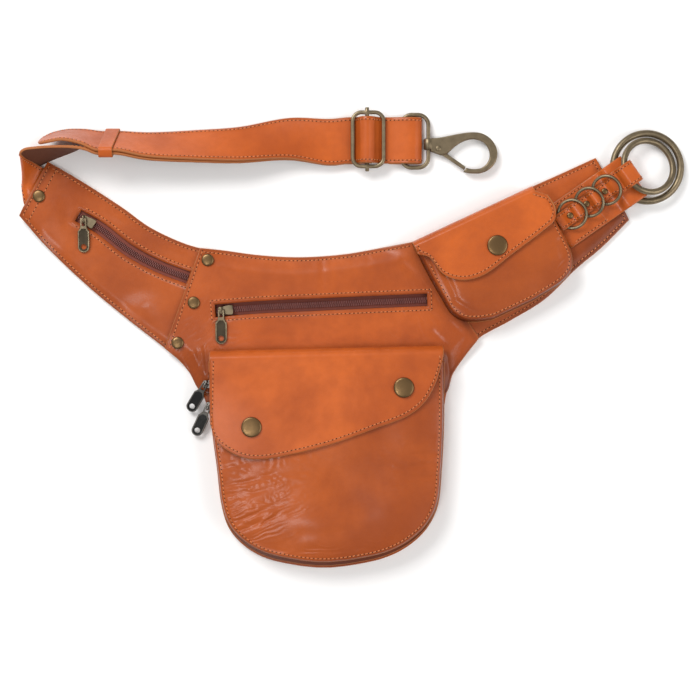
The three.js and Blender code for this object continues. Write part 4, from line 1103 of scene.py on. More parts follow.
class BAG_OT_yoke(Operator):
    """Back panel, two wings and the centre panel, with their windows and seams"""

    bl_idname = "belt_bag.yoke"
    bl_label = "Yoke"

    def execute(self, context):
        tongue = POUCH_ROWS[2:]
        tables = [
            LEFT_LOWER, NECK_LEFT, [(a, r) for r, a, _ in tongue], [(b, r) for r, _, b in tongue[::-1]],
            NECK_RIGHT, RIGHT_LOWER, RIGHT_UPPER, CENTRE_UPPER, LEFT_UPPER,
        ]
        outline = np.concatenate([curve_at(plan_table(table), shares(BACK_STEPS))[:-1] for table in tables])
        keep = np.linalg.norm(outline - np.roll(outline, -1, axis=0), axis=1) > BACK_NEAREST
        back = slab("back_panel_leather", outline[keep], 0, PANEL, ["waxed_tan_leather"], BACK_ROUND)
        dressed(back, "bag", "leather", "back_panel")
        for name, (surface, steps, zip_name) in PANELS.items():
            grid = grid_of(surface, *map(shares, steps))
            shade = panel_shade(name, grid, zip_name)
            tools = [cutter(band_outline(ZIPS[zip_name][0], ZIP_WINDOW, 0))] if zip_name else []
            if name == "centre_panel":
                tools += [footprint_cutter(SHELLS["rear_pocket"]), footprint_cutter(SIDE)]
            leather_piece(name, grid, PANEL, shade, tools=tools)
        inset = seam_inset()
        thread("left_wing_thread", [
            *(edge_seam(left_wing, inset, low, *LEFT_SEWN) for low in (True, False)),
            end_seam(left_wing, inset, 0), end_seam(left_wing, SECOND_ROW * inset, 0),
            window_seam(left_wing_height, "left", WINDOW_SEAM),
        ])
        thread("right_wing_thread", [
            *(edge_seam(right_wing, inset, low, *RIGHT_SEWN) for low in (True, False)),
            end_seam(right_wing, inset, 1),
        ])
        thread("centre_panel_thread", [
            edge_seam(centre_panel, inset, False, *CENTRE_SEWN),
            end_seam(centre_panel, inset, 0, *CENTRE_END), window_seam(centre_height, "centre", WINDOW_SEAM),
        ])
        return {"FINISHED"}


# Main pouch, side pocket and their flaps

FRONT_CREASES = [
    (214, 470, 262, 458, 0.4, 2.2), (216, 486, 284, 472, 0.45, 2.4), (218, 494, 266, 488, 0.4, 2.0),
    (220, 502, 288, 480, 0.4, 2.4), (226, 524, 296, 494, 0.5, 2.8), (234, 530, 300, 506, 0.4, 2.6),
    (246, 476, 330, 462, 0.3, 5.0), (290, 512, 350, 500, 0.3, 6.0), (444, 450, 398, 456, 0.4, 2.6),
    (444, 460, 392, 468, 0.4, 2.4), (442, 474, 384, 478, 0.3, 2.4), (300, 532, 372, 528, 0.25, 6.0),
]
SIDE_CREASES = [
    (420, 250, 438, 284, 0.9, 3.0), (430, 250, 452, 296, 0.7, 3.0), (440, 262, 460, 312, 0.6, 3.0),
    (452, 300, 480, 318, 0.5, 3.0), (556, 240, 562, 268, 0.4, 3.0), (470, 296, 500, 302, 0.3, 4.0),
]


# How far in from a pocket's outline its face is calm, and over how much it softens, front and side
RIM_CALM, FRONT_EASE, SIDE_EASE = 1, 5, 4


def shell_surface(form, soft=lambda x, y: 0.0):
    """A shell's surface, with its soft form added."""

    def surface(u, v):
        place = mix(curve_at(form["left"], v), curve_at(form["right"], v), (1 - np.asarray(u))[..., None])
        place[..., 2] = form["height"](place[..., 0], place[..., 1]) + soft(place[..., 0], place[..., 1])
        return place

    return surface


def soft_face(name, form, ease, creases, crumples):
    """A pocket's face: swollen, creased and wrinkled, but calm along its rim."""

    def soft(x, y):
        calm = smooth((distance_to(form["outline"], x, y) - RIM_CALM) / ease)
        return calm * (swelling(name, x, y) + creased(x, y, creases) + crumpled(x, y, crumples))

    return soft


front_soft = soft_face("front_pocket", SHELLS["front_pocket"], FRONT_EASE, FRONT_CREASES, FRONT_CRUMPLES)
side_soft = soft_face("side_pocket", SIDE, SIDE_EASE, SIDE_CREASES, SIDE_CRUMPLES)


def crowded(count, share=0.45):
    """Steps that crowd a little towards both ends, where a shell turns down to its rim."""
    even = shares(count)
    return mix(even, 0.5 - 0.5 * np.cos(math.pi * even), share)


def edged(count, band, fine=12):
    """Even steps with a band of finer ones at both ends, where a shell has its steep wall."""
    ends = np.linspace(0, band, fine, endpoint=False)
    return np.concatenate([ends, np.linspace(band, 1 - band, count), 1 - ends[::-1]])


def shell_shade(name, form, grid, gusset):
    """Darker along rims, with a painted shadow on the gusset behind a pocket's face, over the piece's painted
    shade.
    """
    d = distance_to(form["outline"], grid[..., 0], grid[..., 1])
    rim = darkened_by(d, RIM_DARKENING) + gusset * fading(d - GUSSET_SHADOW_PLACE, GUSSET_SHADOW_WIDE)
    return np.clip(PIECE_SHADE[name] + rim, 0, POCKET_DARKEST)


def outline_seam(form, soft, distance, sewn, steps=520):
    """A seam that runs inside a pocket's outline, from its left mouth round to its right."""
    fine = evenly(form["outline"], shares(steps))
    along = unit(np.gradient(fine, axis=0))
    inner = fine + np.stack([-along[:, 1], along[:, 0], np.zeros(steps)], axis=1) * distance
    first, last = (int(share * steps) for share in sewn)
    return flat_seam(inner[first:last], lambda x, y: form["height"](x, y) + soft(x, y))


# How quickly a flap's swelling sets in below its fold
FLAP_EASE = 4


def flap_surface(name, plan, form, crest, data):
    """A flap: sewn on behind, up over a fold, then lying on the shell in front."""
    root, fold_left, fold_right, depth, lower = data
    edge = plan_table(lower, plan, crest)

    def lying(x, y):
        under = form["height"](x, y)
        return under + FLAP_LIE + FLAP_DROOP * (crest - under)

    def surface(u, v):
        across, v = 1 - np.asarray(u, float), np.asarray(v, float)
        column = mix(fold_left[0], fold_right[0], across)
        row = mix(fold_left[1], fold_right[1], across) + depth
        over = plan(column, row, crest)
        over[..., 2] = lying(over[..., 0], over[..., 1])
        turn = math.pi * (np.minimum(v / FOLD_SHARE, 1) - 0.5)
        folded = plan(column, row - depth * np.cos(turn), crest)
        folded[..., 2] = mix(root, over[..., 2], 0.5 + 0.5 * np.sin(turn))
        share = np.clip((v - FOLD_SHARE) / (1 - FOLD_SHARE), 0, 1)
        flat = mix(over, evenly(edge, across), share[..., None])
        x, y = flat[..., 0], flat[..., 1]
        flat[..., 2] = lying(x, y) + smooth(share * FLAP_EASE) * swelling(name, x, y)
        return np.where((v < FOLD_SHARE)[..., None], folded, flat)

    return surface, lying


POUCH_CREST, SIDE_CREST = POUCH_SHELLS["front_pocket"][1], SIDE_SHELL[1]
pouch_flap, pouch_lying = flap_surface("pouch_flap", spot, SHELLS["front_pocket"], POUCH_CREST, POUCH_FLAP)
side_flap, side_lying = flap_surface("side_flap", side_plan, SIDE, SIDE_CREST, SIDE_FLAP)
FOLD_ROWS, LYING_ROWS = 30, 80
# A flap's seam: where it starts below the fold, and places along its sides and its lower edge
FOLD_CLEAR, SIDE_SAMPLES, EDGE_SAMPLES = 0.02, 60, 260
FLAP_ROWS = np.concatenate([
    np.linspace(0, FOLD_SHARE, FOLD_ROWS), np.linspace(FOLD_SHARE, 1, LYING_ROWS)[1:],
])


def flap_shade(grid):
    edge = np.concatenate([grid[FOLD_ROWS:, 0], grid[-1], grid[FOLD_ROWS:, -1][::-1]])
    return darkened_by(distance_to(edge[::3], grid[..., 0], grid[..., 1]), FLAP_DARKENING)


def flap_seam(surface, distance):
    """A seam along a flap's side and lower edges, not along its fold."""
    low = np.linspace(FOLD_SHARE + FOLD_CLEAR, 1, SIDE_SAMPLES)
    u_in = [inset_share(surface, distance, end) for end in (0, 1)]
    u = np.linspace(*u_in, EDGE_SAMPLES)
    length = np.linalg.norm(surface(u, np.ones_like(u)) - surface(u, np.full_like(u, FOLD_SHARE)), axis=1)
    v = 1 - (1 - FOLD_SHARE) * distance / np.maximum(length, 2 * distance)
    down = low[low < v[0]]
    up = low[low < v[-1]][::-1]
    us = np.concatenate([np.full_like(down, u_in[0]), u, np.full_like(up, u_in[1])])
    return seam(surface, us, np.concatenate([down, v, up]), PANEL)


# From a pocket's outline to the seam on its face, inside the steep wall, and the shares that are sewn
FACE_INSET, FRONT_SEWN, SIDE_SEWN = 3.9, (0.02, 0.98), (0.05, 0.97)
# Grid steps: shells, the front's and the side's face with their walls, and the flaps
SHELL_STEPS = (crowded(90), crowded(80))
FRONT_STEPS = (edged(180, 0.024), edged(170, 0.024))
SIDE_STEPS = (edged(120, 0.04), edged(84, 0.06))
POUCH_FLAP_STEPS, SIDE_FLAP_STEPS = 170, 130
# Strength of the painted shadow on the gusset behind the front pocket's and the side pocket's face
FRONT_GUSSET_SHADOW, SIDE_GUSSET_SHADOW = 0.75, 0.6


def sewn_flap(name, surface, columns):
    grid = grid_of(surface, shares(columns), FLAP_ROWS)
    leather_piece(name, grid, PANEL, flap_shade(grid))
    thread(name + "_thread", [flap_seam(surface, seam_inset())])


class BAG_OT_pouch(Operator):
    """The main pouch's three nested shells and its flap"""

    bl_idname = "belt_bag.pouch"
    bl_label = "Main pouch"

    def execute(self, context):
        for name, form in SHELLS.items():
            front = name == "front_pocket"
            surface = shell_surface(form, front_soft) if front else shell_surface(form)
            grid = grid_of(surface, *(FRONT_STEPS if front else SHELL_STEPS))
            shade = shell_shade(name, form, grid, FRONT_GUSSET_SHADOW if front else 0.0)
            leather_piece(name, grid, PANEL, shade, tools=[bite_cutter()], folded=front)
        thread("pouch_thread", [outline_seam(SHELLS["front_pocket"], front_soft, FACE_INSET, FRONT_SEWN)])
        sewn_flap("pouch_flap", pouch_flap, POUCH_FLAP_STEPS)
        return {"FINISHED"}


class BAG_OT_side_pocket(Operator):
    """The side pocket's shell and its flap"""

    bl_idname = "belt_bag.side_pocket"
    bl_label = "Side pocket"

    def execute(self, context):
        grid = grid_of(shell_surface(SIDE, side_soft), *SIDE_STEPS)
        leather_piece("side_pocket", grid, PANEL, shell_shade("side_pocket", SIDE, grid, SIDE_GUSSET_SHADOW))
        thread("side_pocket_thread", [outline_seam(SIDE, side_soft, FACE_INSET, SIDE_SEWN)])
        sewn_flap("side_flap", side_flap, SIDE_FLAP_STEPS)
        return {"FINISHED"}


# Straps and the ring end


def ribbon_surface(rows, flat):
    """A strap between its two edges, and how many spans it has."""
    rows = rows + [((c, STRAP_NORTH, z), (c, STRAP_SOUTH, z)) for c, z in flat]
    edges = [np.array([spot(*row[side][:2]) + [0, 0, row[side][2]] for row in rows]) for side in (0, 1)]

    def surface(u, v):
        return mix(curve_at(edges[0], v), curve_at(edges[1], v), np.asarray(u)[..., None])

    return surface, len(rows) - 1


# The most that a seam may lie in from a strap's edge, as a share of its width
MOST_INSET = 0.4


def ribbon_seams(surface, v_from, v_to, distance, thickness, steps=420):
    v = np.linspace(v_from, v_to, steps)
    width = np.linalg.norm(surface(np.ones_like(v), v) - surface(np.zeros_like(v), v), axis=1)
    share = np.minimum(distance / np.maximum(width, 1e-6), MOST_INSET)
    return [seam(surface, share, v, thickness), seam(surface, 1 - share, v, thickness)]


def ribbon_shade(grid):
    t = shares(grid.shape[1])
    width = np.linalg.norm(grid[:, -1] - grid[:, 0], axis=1)[:, None]
    return darkened_by(np.minimum(t, 1 - t) * width, STRAP_DARKENING)


def sewn_ribbons(ribbons, thickness, steps, inset, slot, materials=LEATHER):
    """Straps or strips with a seam along both edges; steps across, and along each span."""
    for name, (surface, spans, sewn) in ribbons.items():
        grid = grid_of(surface, shares(steps[0]), shares(spans * steps[1] + 1))
        leather_piece(name, grid, thickness, ribbon_shade(grid), slot, materials=materials)
        thread(name + "_thread", ribbon_seams(surface, *sewn, inset * seam_inset(), thickness))


def oblong_path(long, deep, corner, steps=8):
    """A closed path round a rounded oblong, counted from its right side."""
    points = []
    for k, (x, y) in enumerate(((1, -1), (1, 1), (-1, 1), (-1, -1))):
        centre = np.array([x * (long / 2 - corner), y * (deep / 2 - corner)])
        for t in np.linspace(-math.pi / 2, 0, steps) + k * math.pi / 2:
            points.append(centre + corner * np.array([math.cos(t), math.sin(t)]))
    return np.array(points)


def spine_surface(path, edges):
    """A strip of the ring end along a path of (along, height), between edges that depend on the way along."""
    spine = np.array([(a, 0.0, z) for a, z in path])

    def surface(u, v):
        p = curve_at(spine, v)
        low, high = edges(p[..., 0])
        place = ring_plan(p[..., 0], mix(low, high, np.asarray(u)))
        place[..., 2] = p[..., 2]
        return place

    return surface


def narrow_edges(along):
    half = mix(NARROW_SLIM, NARROW_FULL, smooth((along - NARROW_GROW[0]) / (NARROW_GROW[1] - NARROW_GROW[0])))
    return NARROW_MIDDLE - half, NARROW_MIDDLE + half


wide_strip = spine_surface(WIDE_PATH, lambda a: (np.full_like(a, WIDE_FROM), np.full_like(a, WIDE_TO)))
narrow_strip = spine_surface(NARROW_PATH, narrow_edges)

# Straps and strips: surface, spans, and the shares between which they are sewn
STRAPS = {
    "bag_strap": (*ribbon_surface(BAG_STRAP, BAG_STRAP_FLAT), (0.03, 0.6)),
    "hook_strap": (*ribbon_surface(HOOK_STRAP, HOOK_STRAP_FLAT), (0.03, 0.88)),
}
RING_STRIPS = {
    "ring_strip_wide": (wide_strip, len(WIDE_PATH) - 1, (0.01, 0.3)),
    "ring_strip_narrow": (narrow_strip, len(NARROW_PATH) - 1, (0.01, 0.98)),
}
# Grid steps, and the inset of their seams against the bag's own
STRAP_STEPS, STRIP_STEPS, KEEPER_STEPS = (18, 10), (24, 9), (12, 4)
STRAP_INSET, STRIP_INSET = 0.75, 0.7


class BAG_OT_straps(Operator):
    """The bag's strap, the hook's strap and the keeper round both"""

    bl_idname = "belt_bag.straps"
    bl_label = "Straps"

    def execute(self, context):
        sewn_ribbons(STRAPS, STRAP, STRAP_STEPS, STRAP_INSET, "strap_leather")
        lean, wall = math.radians(KEEPER["lean"]), KEEPER["wall"]
        across = np.array([0, -math.cos(lean), math.sin(lean)])
        outward = np.array([0, math.sin(lean), math.cos(lean)])
        path = oblong_path(KEEPER["long"] + wall, KEEPER["deep"] + wall, KEEPER["corner"] + wall / 2)
        path = np.vstack([refined(closed(path), KEEPER_STEPS[1]), path[:1]])
        middle = spot(*KEEPER["place"]) + [0, 0, KEEPER["height"]]
        loop = middle + path[:, :1] * across + path[:, 1:] * outward
        grid = np.repeat(loop[:, None, :], KEEPER_STEPS[0], axis=1)
        grid[..., 0] += (shares(KEEPER_STEPS[0]) - 0.5) * KEEPER["width"] - KEEPER["skew"] * path[:, :1]
        leather_piece("strap_keeper", grid, wall, slot="strap_leather")
        return {"FINISHED"}


# Steps round a ring and round its wire
RING_STEPS = (72, 20)


def torus(name, middle, radius, wire, dip, turn, materials):
    """A round ring of round wire, dipped to one side and turned on the plan."""
    a, b = np.meshgrid(*map(turns, RING_STEPS), indexing="ij")
    reach = radius + wire / 2 * np.cos(b)
    local = np.stack([reach * np.cos(a), reach * np.sin(a), wire / 2 * np.sin(b)], axis=-1).reshape(-1, 3)
    pose = Matrix.Rotation(turn, 3, "Z") @ Matrix.Rotation(-dip, 3, "Y")
    return piece(name, local @ np.array(pose).T + middle, hoop_faces(*RING_STEPS), materials)


class BAG_OT_ring_end(Operator):
    """The ring end's two strips and its rings"""

    bl_idname = "belt_bag.ring_end"
    bl_label = "Ring end"

    def execute(self, context):
        sewn_ribbons(RING_STRIPS, STRIP, STRIP_STEPS, STRIP_INSET, "leather", FOLDED_LEATHER)
        for name, (along, across, outside, wire, held, free) in RINGS.items():
            radius = (outside - wire) / 2
            middle = ring_plan(along, across) + [0, 0, (held + free) / 2]
            dip = math.asin((free - held) / (2 * radius))
            turn = math.radians(RING_TILT)
            made = torus(name + "_brass", middle, radius, wire, dip, turn, ["antiqued_plate"])
            dressed(made, "bag", "antique_brass", name)
        return {"FINISHED"}


# Zips, fasteners and cast fittings


def lathe(name, profile, place, materials, sides):
    """A turned piece: a closed profile of (radius, height) round an upright axis."""
    vertices, faces, rings = [], [], []
    for radius, height in profile:
        if radius < 1e-6:
            rings.append([len(vertices)] * sides)
            vertices.append((0, 0, height))
        else:
            rings.append(list(range(len(vertices), len(vertices) + sides)))
            vertices.extend((radius * math.cos(t), radius * math.sin(t), height) for t in turns(sides))
    for low, high in zip(rings[:-1], rings[1:]):
        for i in range(sides):
            face = [low[i], low[(i + 1) % sides], high[(i + 1) % sides], high[i]]
            faces.append(list(dict.fromkeys(face)))
    return piece(name, np.array(vertices) + place, faces, materials)


TAPE_THICK = 0.8
# A tooth: half length, half width, how far it passes the middle, and its levels as lift and share of size
TOOTH = {"reach": 1.15, "width": 0.27, "overlap": 0.12}
TOOTH_LEVELS = [(-1, 1.0), (0.45, 1.0), (1, 0.72)]
CORNERS = [(-1, -1), (1, -1), (1, 1), (-1, 1)]


def zip_teeth(name, path, low, high, pitch):
    """Two rows of teeth that interlock along a zip's middle: small blocks with chamfered tops."""
    places = plan_table(path)
    count = int(run_of(curve_at(places, shares(200)))[-1] / pitch)
    middle = evenly(places, (np.arange(count) + 0.5) / count)
    along = unit(np.gradient(middle, axis=0))
    middle[:, 2] = (low + TAPE_THICK + high) / 2
    rise = np.array([0, 0, (high - low - TAPE_THICK) / 2])
    vertices, faces = [], []
    for i in range(count):
        across = np.array([-along[i, 1], along[i, 0], 0.0])
        centre = middle[i] + across * (-1) ** i * (TOOTH["reach"] - TOOTH["overlap"])
        x, y = along[i] * TOOTH["width"], across * TOOTH["reach"]
        faces += [[len(vertices) + k for k in face] for face in tube_faces(len(TOOTH_LEVELS), len(CORNERS))]
        for lift, share in TOOTH_LEVELS:
            vertices += [centre + share * (a * x + b * y) + lift * rise for a, b in CORNERS]
    return piece(name, vertices, faces, ["moulded_teeth"], smooth_faces=False)


# Zip slider and pull in their own frame: the pull's bar lies at the origin along X and the pull points to -Y
SLIDER = {
    "length": 11, "width": 7.6, "thick": 2.2, "top": -2.2, "reach": 2.7, "post": 1, "beam": 1.9, "broad": 1.2,
}
# The slider from above, broad at its nose, waisted, narrow at its tail: shares of half its length and width
SLIDER_SHAPE = [(-1, 0.62), (-0.72, 0.78), (-0.2, 0.8), (0.35, 0.96), (0.8, 1.0), (1, 0.8)]
# The arch over the bar: how deep it stands in the body, height of its knee, ease of its shoulder, flat half
ARCH_SINK, ARCH_KNEE, ARCH_EASE, ARCH_DROP, ARCH_FLAT = 0.8, 0.6, 0.5, 0.25, 1.2
ARCH_STEPS, ARCH_SIDES, ARCH_SQUARE = 30, 12, 0.6
PULL = {
    "length": 25, "width": 8.6, "thick": 1.4, "head": 4.8, "end": 0.8, "eye": 2.5, "eye_end": 5,
    "neck": 1, "flare": 3, "hole": 2.1, "inset": 4.4,
}
# The sunk face: half width at its head, where its head and its full width start, edge left round it, depth
PULL_FACE = {"head": 1.4, "top": 7.2, "full": 9.6, "edge": 0.9, "sink": 0.55}
# Rounding of the castings' edges, reach of their cutters, bend of a pull's flare, and its round tip
SLIDER_ROUND, PULL_ROUND, PULL_CUT, FLARE_BEND = 0.5, 0.4, 4, (0.8, 0.7)
TIP = np.linspace(math.pi, 2 * math.pi, 18)
HOLE_SIDES = 28


def soft_square(sides, power, wide, deep):
    """A wire's section between a circle and an oblong."""
    swell = lambda s, size: math.copysign(abs(s) ** power, s) * size / 2
    return [(swell(math.cos(a), wide), swell(math.sin(a), deep)) for a in turns(sides)]


def mirrored(points, tip=()):
    """An outline from the points of its left side, and its tip."""
    return [*points, *tip, *((-x, y) for x, y in points[::-1])]


def arc(radius, middle, angles):
    return [(radius * math.cos(a), middle + radius * math.sin(a)) for a in angles]


def zip_slider(name, finish, turn, body):
    """A slider's body, and the arch that the pull's bar turns under."""
    reach, post, beam, broad, top = (SLIDER[k] for k in ("reach", "post", "beam", "broad", "top"))
    side = [(x * SLIDER["length"] / 2, y * SLIDER["width"] / 2) for x, y in SLIDER_SHAPE]
    outline = side + [(x, -y) for x, y in side[::-1]]
    made = slab(name, outline, top - SLIDER["thick"], top, [finish], SLIDER_ROUND)
    turned = Matrix.Rotation(turn, 4, "Z")
    made.data.transform(Matrix.Translation((body[0] * METRES, body[1] * METRES, 0)) @ turned)
    path = mirrored([
        (-reach, top - ARCH_SINK), (-reach, ARCH_KNEE), (ARCH_EASE - reach, beam - ARCH_DROP),
        (-ARCH_FLAT, beam),
    ])
    spine = curve_at(np.array([(0, y, z) for y, z in path]), shares(ARCH_STEPS))
    aside = np.array([1.0, 0, 0])
    up = np.cross(aside, unit(np.gradient(spine, axis=0)))
    section = soft_square(ARCH_SIDES, ARCH_SQUARE, broad, post)
    vertices = [spine[i] + aside * a + up[i] * b for i in range(ARCH_STEPS) for a, b in section]
    return joined_to(made, piece(name + "_arch", vertices, tube_faces(ARCH_STEPS, ARCH_SIDES), [finish]))


def zip_pull(name, finish, face):
    """Pull tab: a slot for the arch at its head, a round hole at its end, and a sunk face between edges."""
    half, neck, thick, tail = PULL["width"] / 2, PULL["head"] / 2, PULL["thick"] / 2, -PULL["length"]
    shoulder, flare = PULL["eye_end"] + PULL["neck"], PULL["flare"]
    bend = (-FLARE_BEND[0] * half, -shoulder - FLARE_BEND[1] * flare)
    left = [(-neck, PULL["end"]), (-neck, -shoulder), bend, (-half, -shoulder - flare)]
    outline = mirrored(left, arc(half, tail + half, TIP))
    made = slab(name, outline, -thick, thick, [finish], PULL_ROUND)
    eye = [(x * PULL["eye"] / 2, -PULL["end"] if y > 0 else -PULL["eye_end"]) for x, y in CORNERS]
    hole = arc(PULL["hole"], tail + PULL["inset"], turns(HOLE_SIDES))
    tools = [slab("cutter", shape, -PULL_CUT, PULL_CUT, [finish]) for shape in (eye, hole)]
    broad = half - PULL_FACE["edge"]
    head = [(-PULL_FACE["head"], -PULL_FACE["top"]), (-broad, -PULL_FACE["full"])]
    floor = mirrored(head, arc(broad, tail + half, TIP))
    tools.append(slab("cutter", floor, thick - PULL_FACE["sink"], PULL_CUT, [face]))
    return cut_by(made, *tools)


# How far a tape runs on past its window, for the wide and for the narrow zips, and the rounding of its edge
TAPE_RUN, NARROW_RUN, TAPE_ROUND = 4, 1, 0.2
# Finish, sunk face and slot of the pulls
BRIGHT = ("antiqued_plate", "brass_patina", "antique_brass")
DARK = ("worn_gunmetal", "black_lacquer", "dark_metal")


class BAG_OT_zips(Operator):
    """Zip tapes with their teeth, sliders and pulls"""

    bl_idname = "belt_bag.zips"
    bl_label = "Zips"

    def execute(self, context):
        pitch = sizes().tooth_pitch / METRES
        for name, (path, width, low, high) in ZIPS.items():
            outline = band_outline(path, width, TAPE_RUN if width > ZIP_WINDOW else NARROW_RUN)
            weave = ["woven_zip_tape"]
            tape = slab(name + "_zip_tape_weave", outline, low, low + TAPE_THICK, weave, TAPE_ROUND, 1)
            dressed(tape, "bag", "zip_tape", name + "_zip_tape")
            dressed(zip_teeth(name + "_zip_teeth", path, low, high, pitch), "bag", "zip_tape")
        for name, (bar, height, points, dip, turn, body) in PULLS.items():
            finish, face, slot = BRIGHT if name in ("left", "centre") else DARK
            place = Vector(spot(*bar) + [0, 0, height]) * METRES
            stand = Matrix.Translation(place) @ Matrix.Rotation(math.radians(points + 90), 4, "Z")
            slider = zip_slider(name + "_zip_slider_cast", finish, math.radians(turn), body)
            slider.data.transform(stand)
            dressed(slider, "bag", slot, name + "_zip_slider")
            tab = zip_pull(name + "_zip_pull_cast", finish, face)
            tab.data.transform(stand @ Matrix.Rotation(math.radians(dip), 4, "X"))
            dressed(tab, name + "_pull", slot, name + "_zip_pull")
        return {"FINISHED"}


# A fastener's face from its lip to its middle: share of the cap's radius, share of the rise above the lip
CROWNED = [(0.88, 0.35), (0.76, 0.62), (0.58, 0.83), (0.32, 0.96), (0, 1)]
NEARLY_FLAT = [(0.92, 0.3), (0.86, 0.5), (0.7, 0.72), (0.45, 0.9), (0.2, 0.98), (0, 1)]
RIVET = {"cap": 4.6, "rise": 1.8, "shank": 1.6, "low": 0.62, "face": CROWNED, "sides": 40}
TAB_RIVET = {**RIVET, "cap": 2.4, "rise": 1.5, "shank": 1.0}
SNAP = {"cap": 7.5, "rise": 2.2, "shank": 2.2, "low": 0.7, "face": NEARLY_FLAT, "sides": 56, "disc": 5}
DISC_THICK, DISC_EASE = 1, 0.3
# The cap's lower side: height at the shank, turn under the edge, start of its side; share of its side, lip
CAP_FOOT, CAP_UNDER, CAP_SIDE, LIP_SIDE, LIP_IN = 0.35, (0.94, 0.3), 0.5, 0.7, 0.96
# How deep the shanks reach
SEAM_DEPTH, STRAP_DEPTH, TAB_DEPTH, SNAP_DEPTH = 4.2, 3.6, 1, 2 * PANEL + GAP + 2.6


def fastener(name, place, depth, cap, rise, shank, low, face, sides, disc=0.0):
    """A rivet or a press snap: a shank, a disc below where it has one, and a cap with a rounded lip."""
    foot = [(0, -depth)]
    if disc:
        under = -depth - DISC_THICK
        foot = [(0, under), (disc - DISC_EASE, under), (disc, under + DISC_EASE), (disc, -depth)]
    lip_top = low * rise
    rim = [(shank, -depth), (shank, CAP_FOOT), (cap * CAP_UNDER[0], CAP_UNDER[1]), (cap, CAP_SIDE)]
    rim += [(cap, LIP_SIDE * lip_top), (cap * LIP_IN, lip_top)]
    crown = [(cap * share, mix(lip_top, rise, up)) for share, up in face]
    made = lathe(name + "_brass", foot + rim + crown, place, ["rubbed_brass"], sides)
    return dressed(made, "bag", "antique_brass", name)


class BAG_OT_fasteners(Operator):
    """Seam rivets, the strap's rivet, the ring end's rivets and the press snaps"""

    bl_idname = "belt_bag.fasteners"
    bl_label = "Fasteners"

    def execute(self, context):
        for name, place in SEAM_RIVETS.items():
            fastener(name, spot(*place) + [0, 0, CENTRE_TOP + PANEL / 2], SEAM_DEPTH, **RIVET)
        strap_top = WING_EDGE + WING_RISE + STRAP_LIFT + PANEL / 2
        fastener("strap_rivet", spot(*STRAP_RIVET) + [0, 0, strap_top], STRAP_DEPTH, **RIVET)
        for name, (along, height) in RING_RIVETS.items():
            fastener(name, ring_plan(along, NARROW_MIDDLE) + [0, 0, height], TAB_DEPTH, **TAB_RIVET)
        snaps = {name: (spot(*place, POUCH_CREST), pouch_lying) for name, place in FLAP_SNAPS.items()}
        snaps["side_snap"] = (side_plan(0, 0, SIDE_CREST), side_lying)
        for name, (place, lying) in snaps.items():
            place[2] = float(lying(place[0], place[1])) + PANEL / 2
            fastener(name, place, SNAP_DEPTH, **SNAP)
        return {"FINISHED"}


# Frames, hook and gate

FRAME_SIDES, FRAME_SQUARE, FRAME_CORNER_STEPS = 16, 0.72, 10


def frame_tube(name, form, materials):
    """A closed oblong frame of softly squared wire, its long sides along Y."""
    wire = form["wire"]
    size = (form["long"] + wire, form["deep"] + wire, form["corner"] + wire / 2)
    path = oblong_path(*size, FRAME_CORNER_STEPS)
    path = np.stack([-path[:, 1], path[:, 0]], axis=1)
    ahead = unit(np.roll(path, -1, axis=0) - np.roll(path, 1, axis=0))
    outward = np.stack([ahead[:, 1], -ahead[:, 0]], axis=1)
    middle = spot(*form["place"]) + [0, 0, form["height"]]
    section = soft_square(FRAME_SIDES, FRAME_SQUARE, wire, wire)
    vertices = [middle + [*(at + out * a), b] for at, out in zip(path, outward) for a, b in section]
    return piece(name, vertices, hoop_faces(len(path), FRAME_SIDES), materials)


def rod(name, start, end, diameter, materials, sides=24, round_off=0.4):
    """A round bar between two places, its ends eased."""
    start, end = np.asarray(start, float), np.asarray(end, float)
    long = np.linalg.norm(end - start)
    r, inner = diameter / 2, diameter / 2 - round_off
    profile = [(0, 0), (inner, 0), (r, round_off), (r, long - round_off), (inner, long), (0, long)]
    made = lathe(name, profile, (0, 0, 0), materials, sides)
    turn = Vector((0, 0, 1)).rotation_difference(Vector(end - start)).to_matrix().to_4x4()
    made.data.transform(Matrix.Translation(Vector(start) * METRES) @ turn)
    return made


# The hook and its gate: rounding and its steps, steps along two edges, groove, bore, pivot pin and its play
HOOK_BEVEL, HOOK_SEGMENTS, GATE_BEVEL, GATE_SEGMENTS = 1.75, 7, 0.7, 3
HOOK_STEPS = (44, 38)
HOOK_GROOVE, BARREL_BORE, PIVOT_PIN, PIVOT_PLAY = 2.8, 4.0, 2.6, 0.6
# Ease of the barrel's ends and of a bore's, and how far a bore's cutter reaches past its piece
BARREL_EASE, BORE_EASE, BORE_PAST = 0.6, 0.1, 4.0
# The pivot: its foot below the hook, its neck, and its head's lower edge, dome and top
PIVOT_FOOT, PIVOT_NECK, HEAD_LOW, HEAD_DOME, HEAD_TOP = 0.4, 0.2, 0.1, 0.6, 0.7
HEAD_TURN = np.linspace(0.1, 1.4, 6)


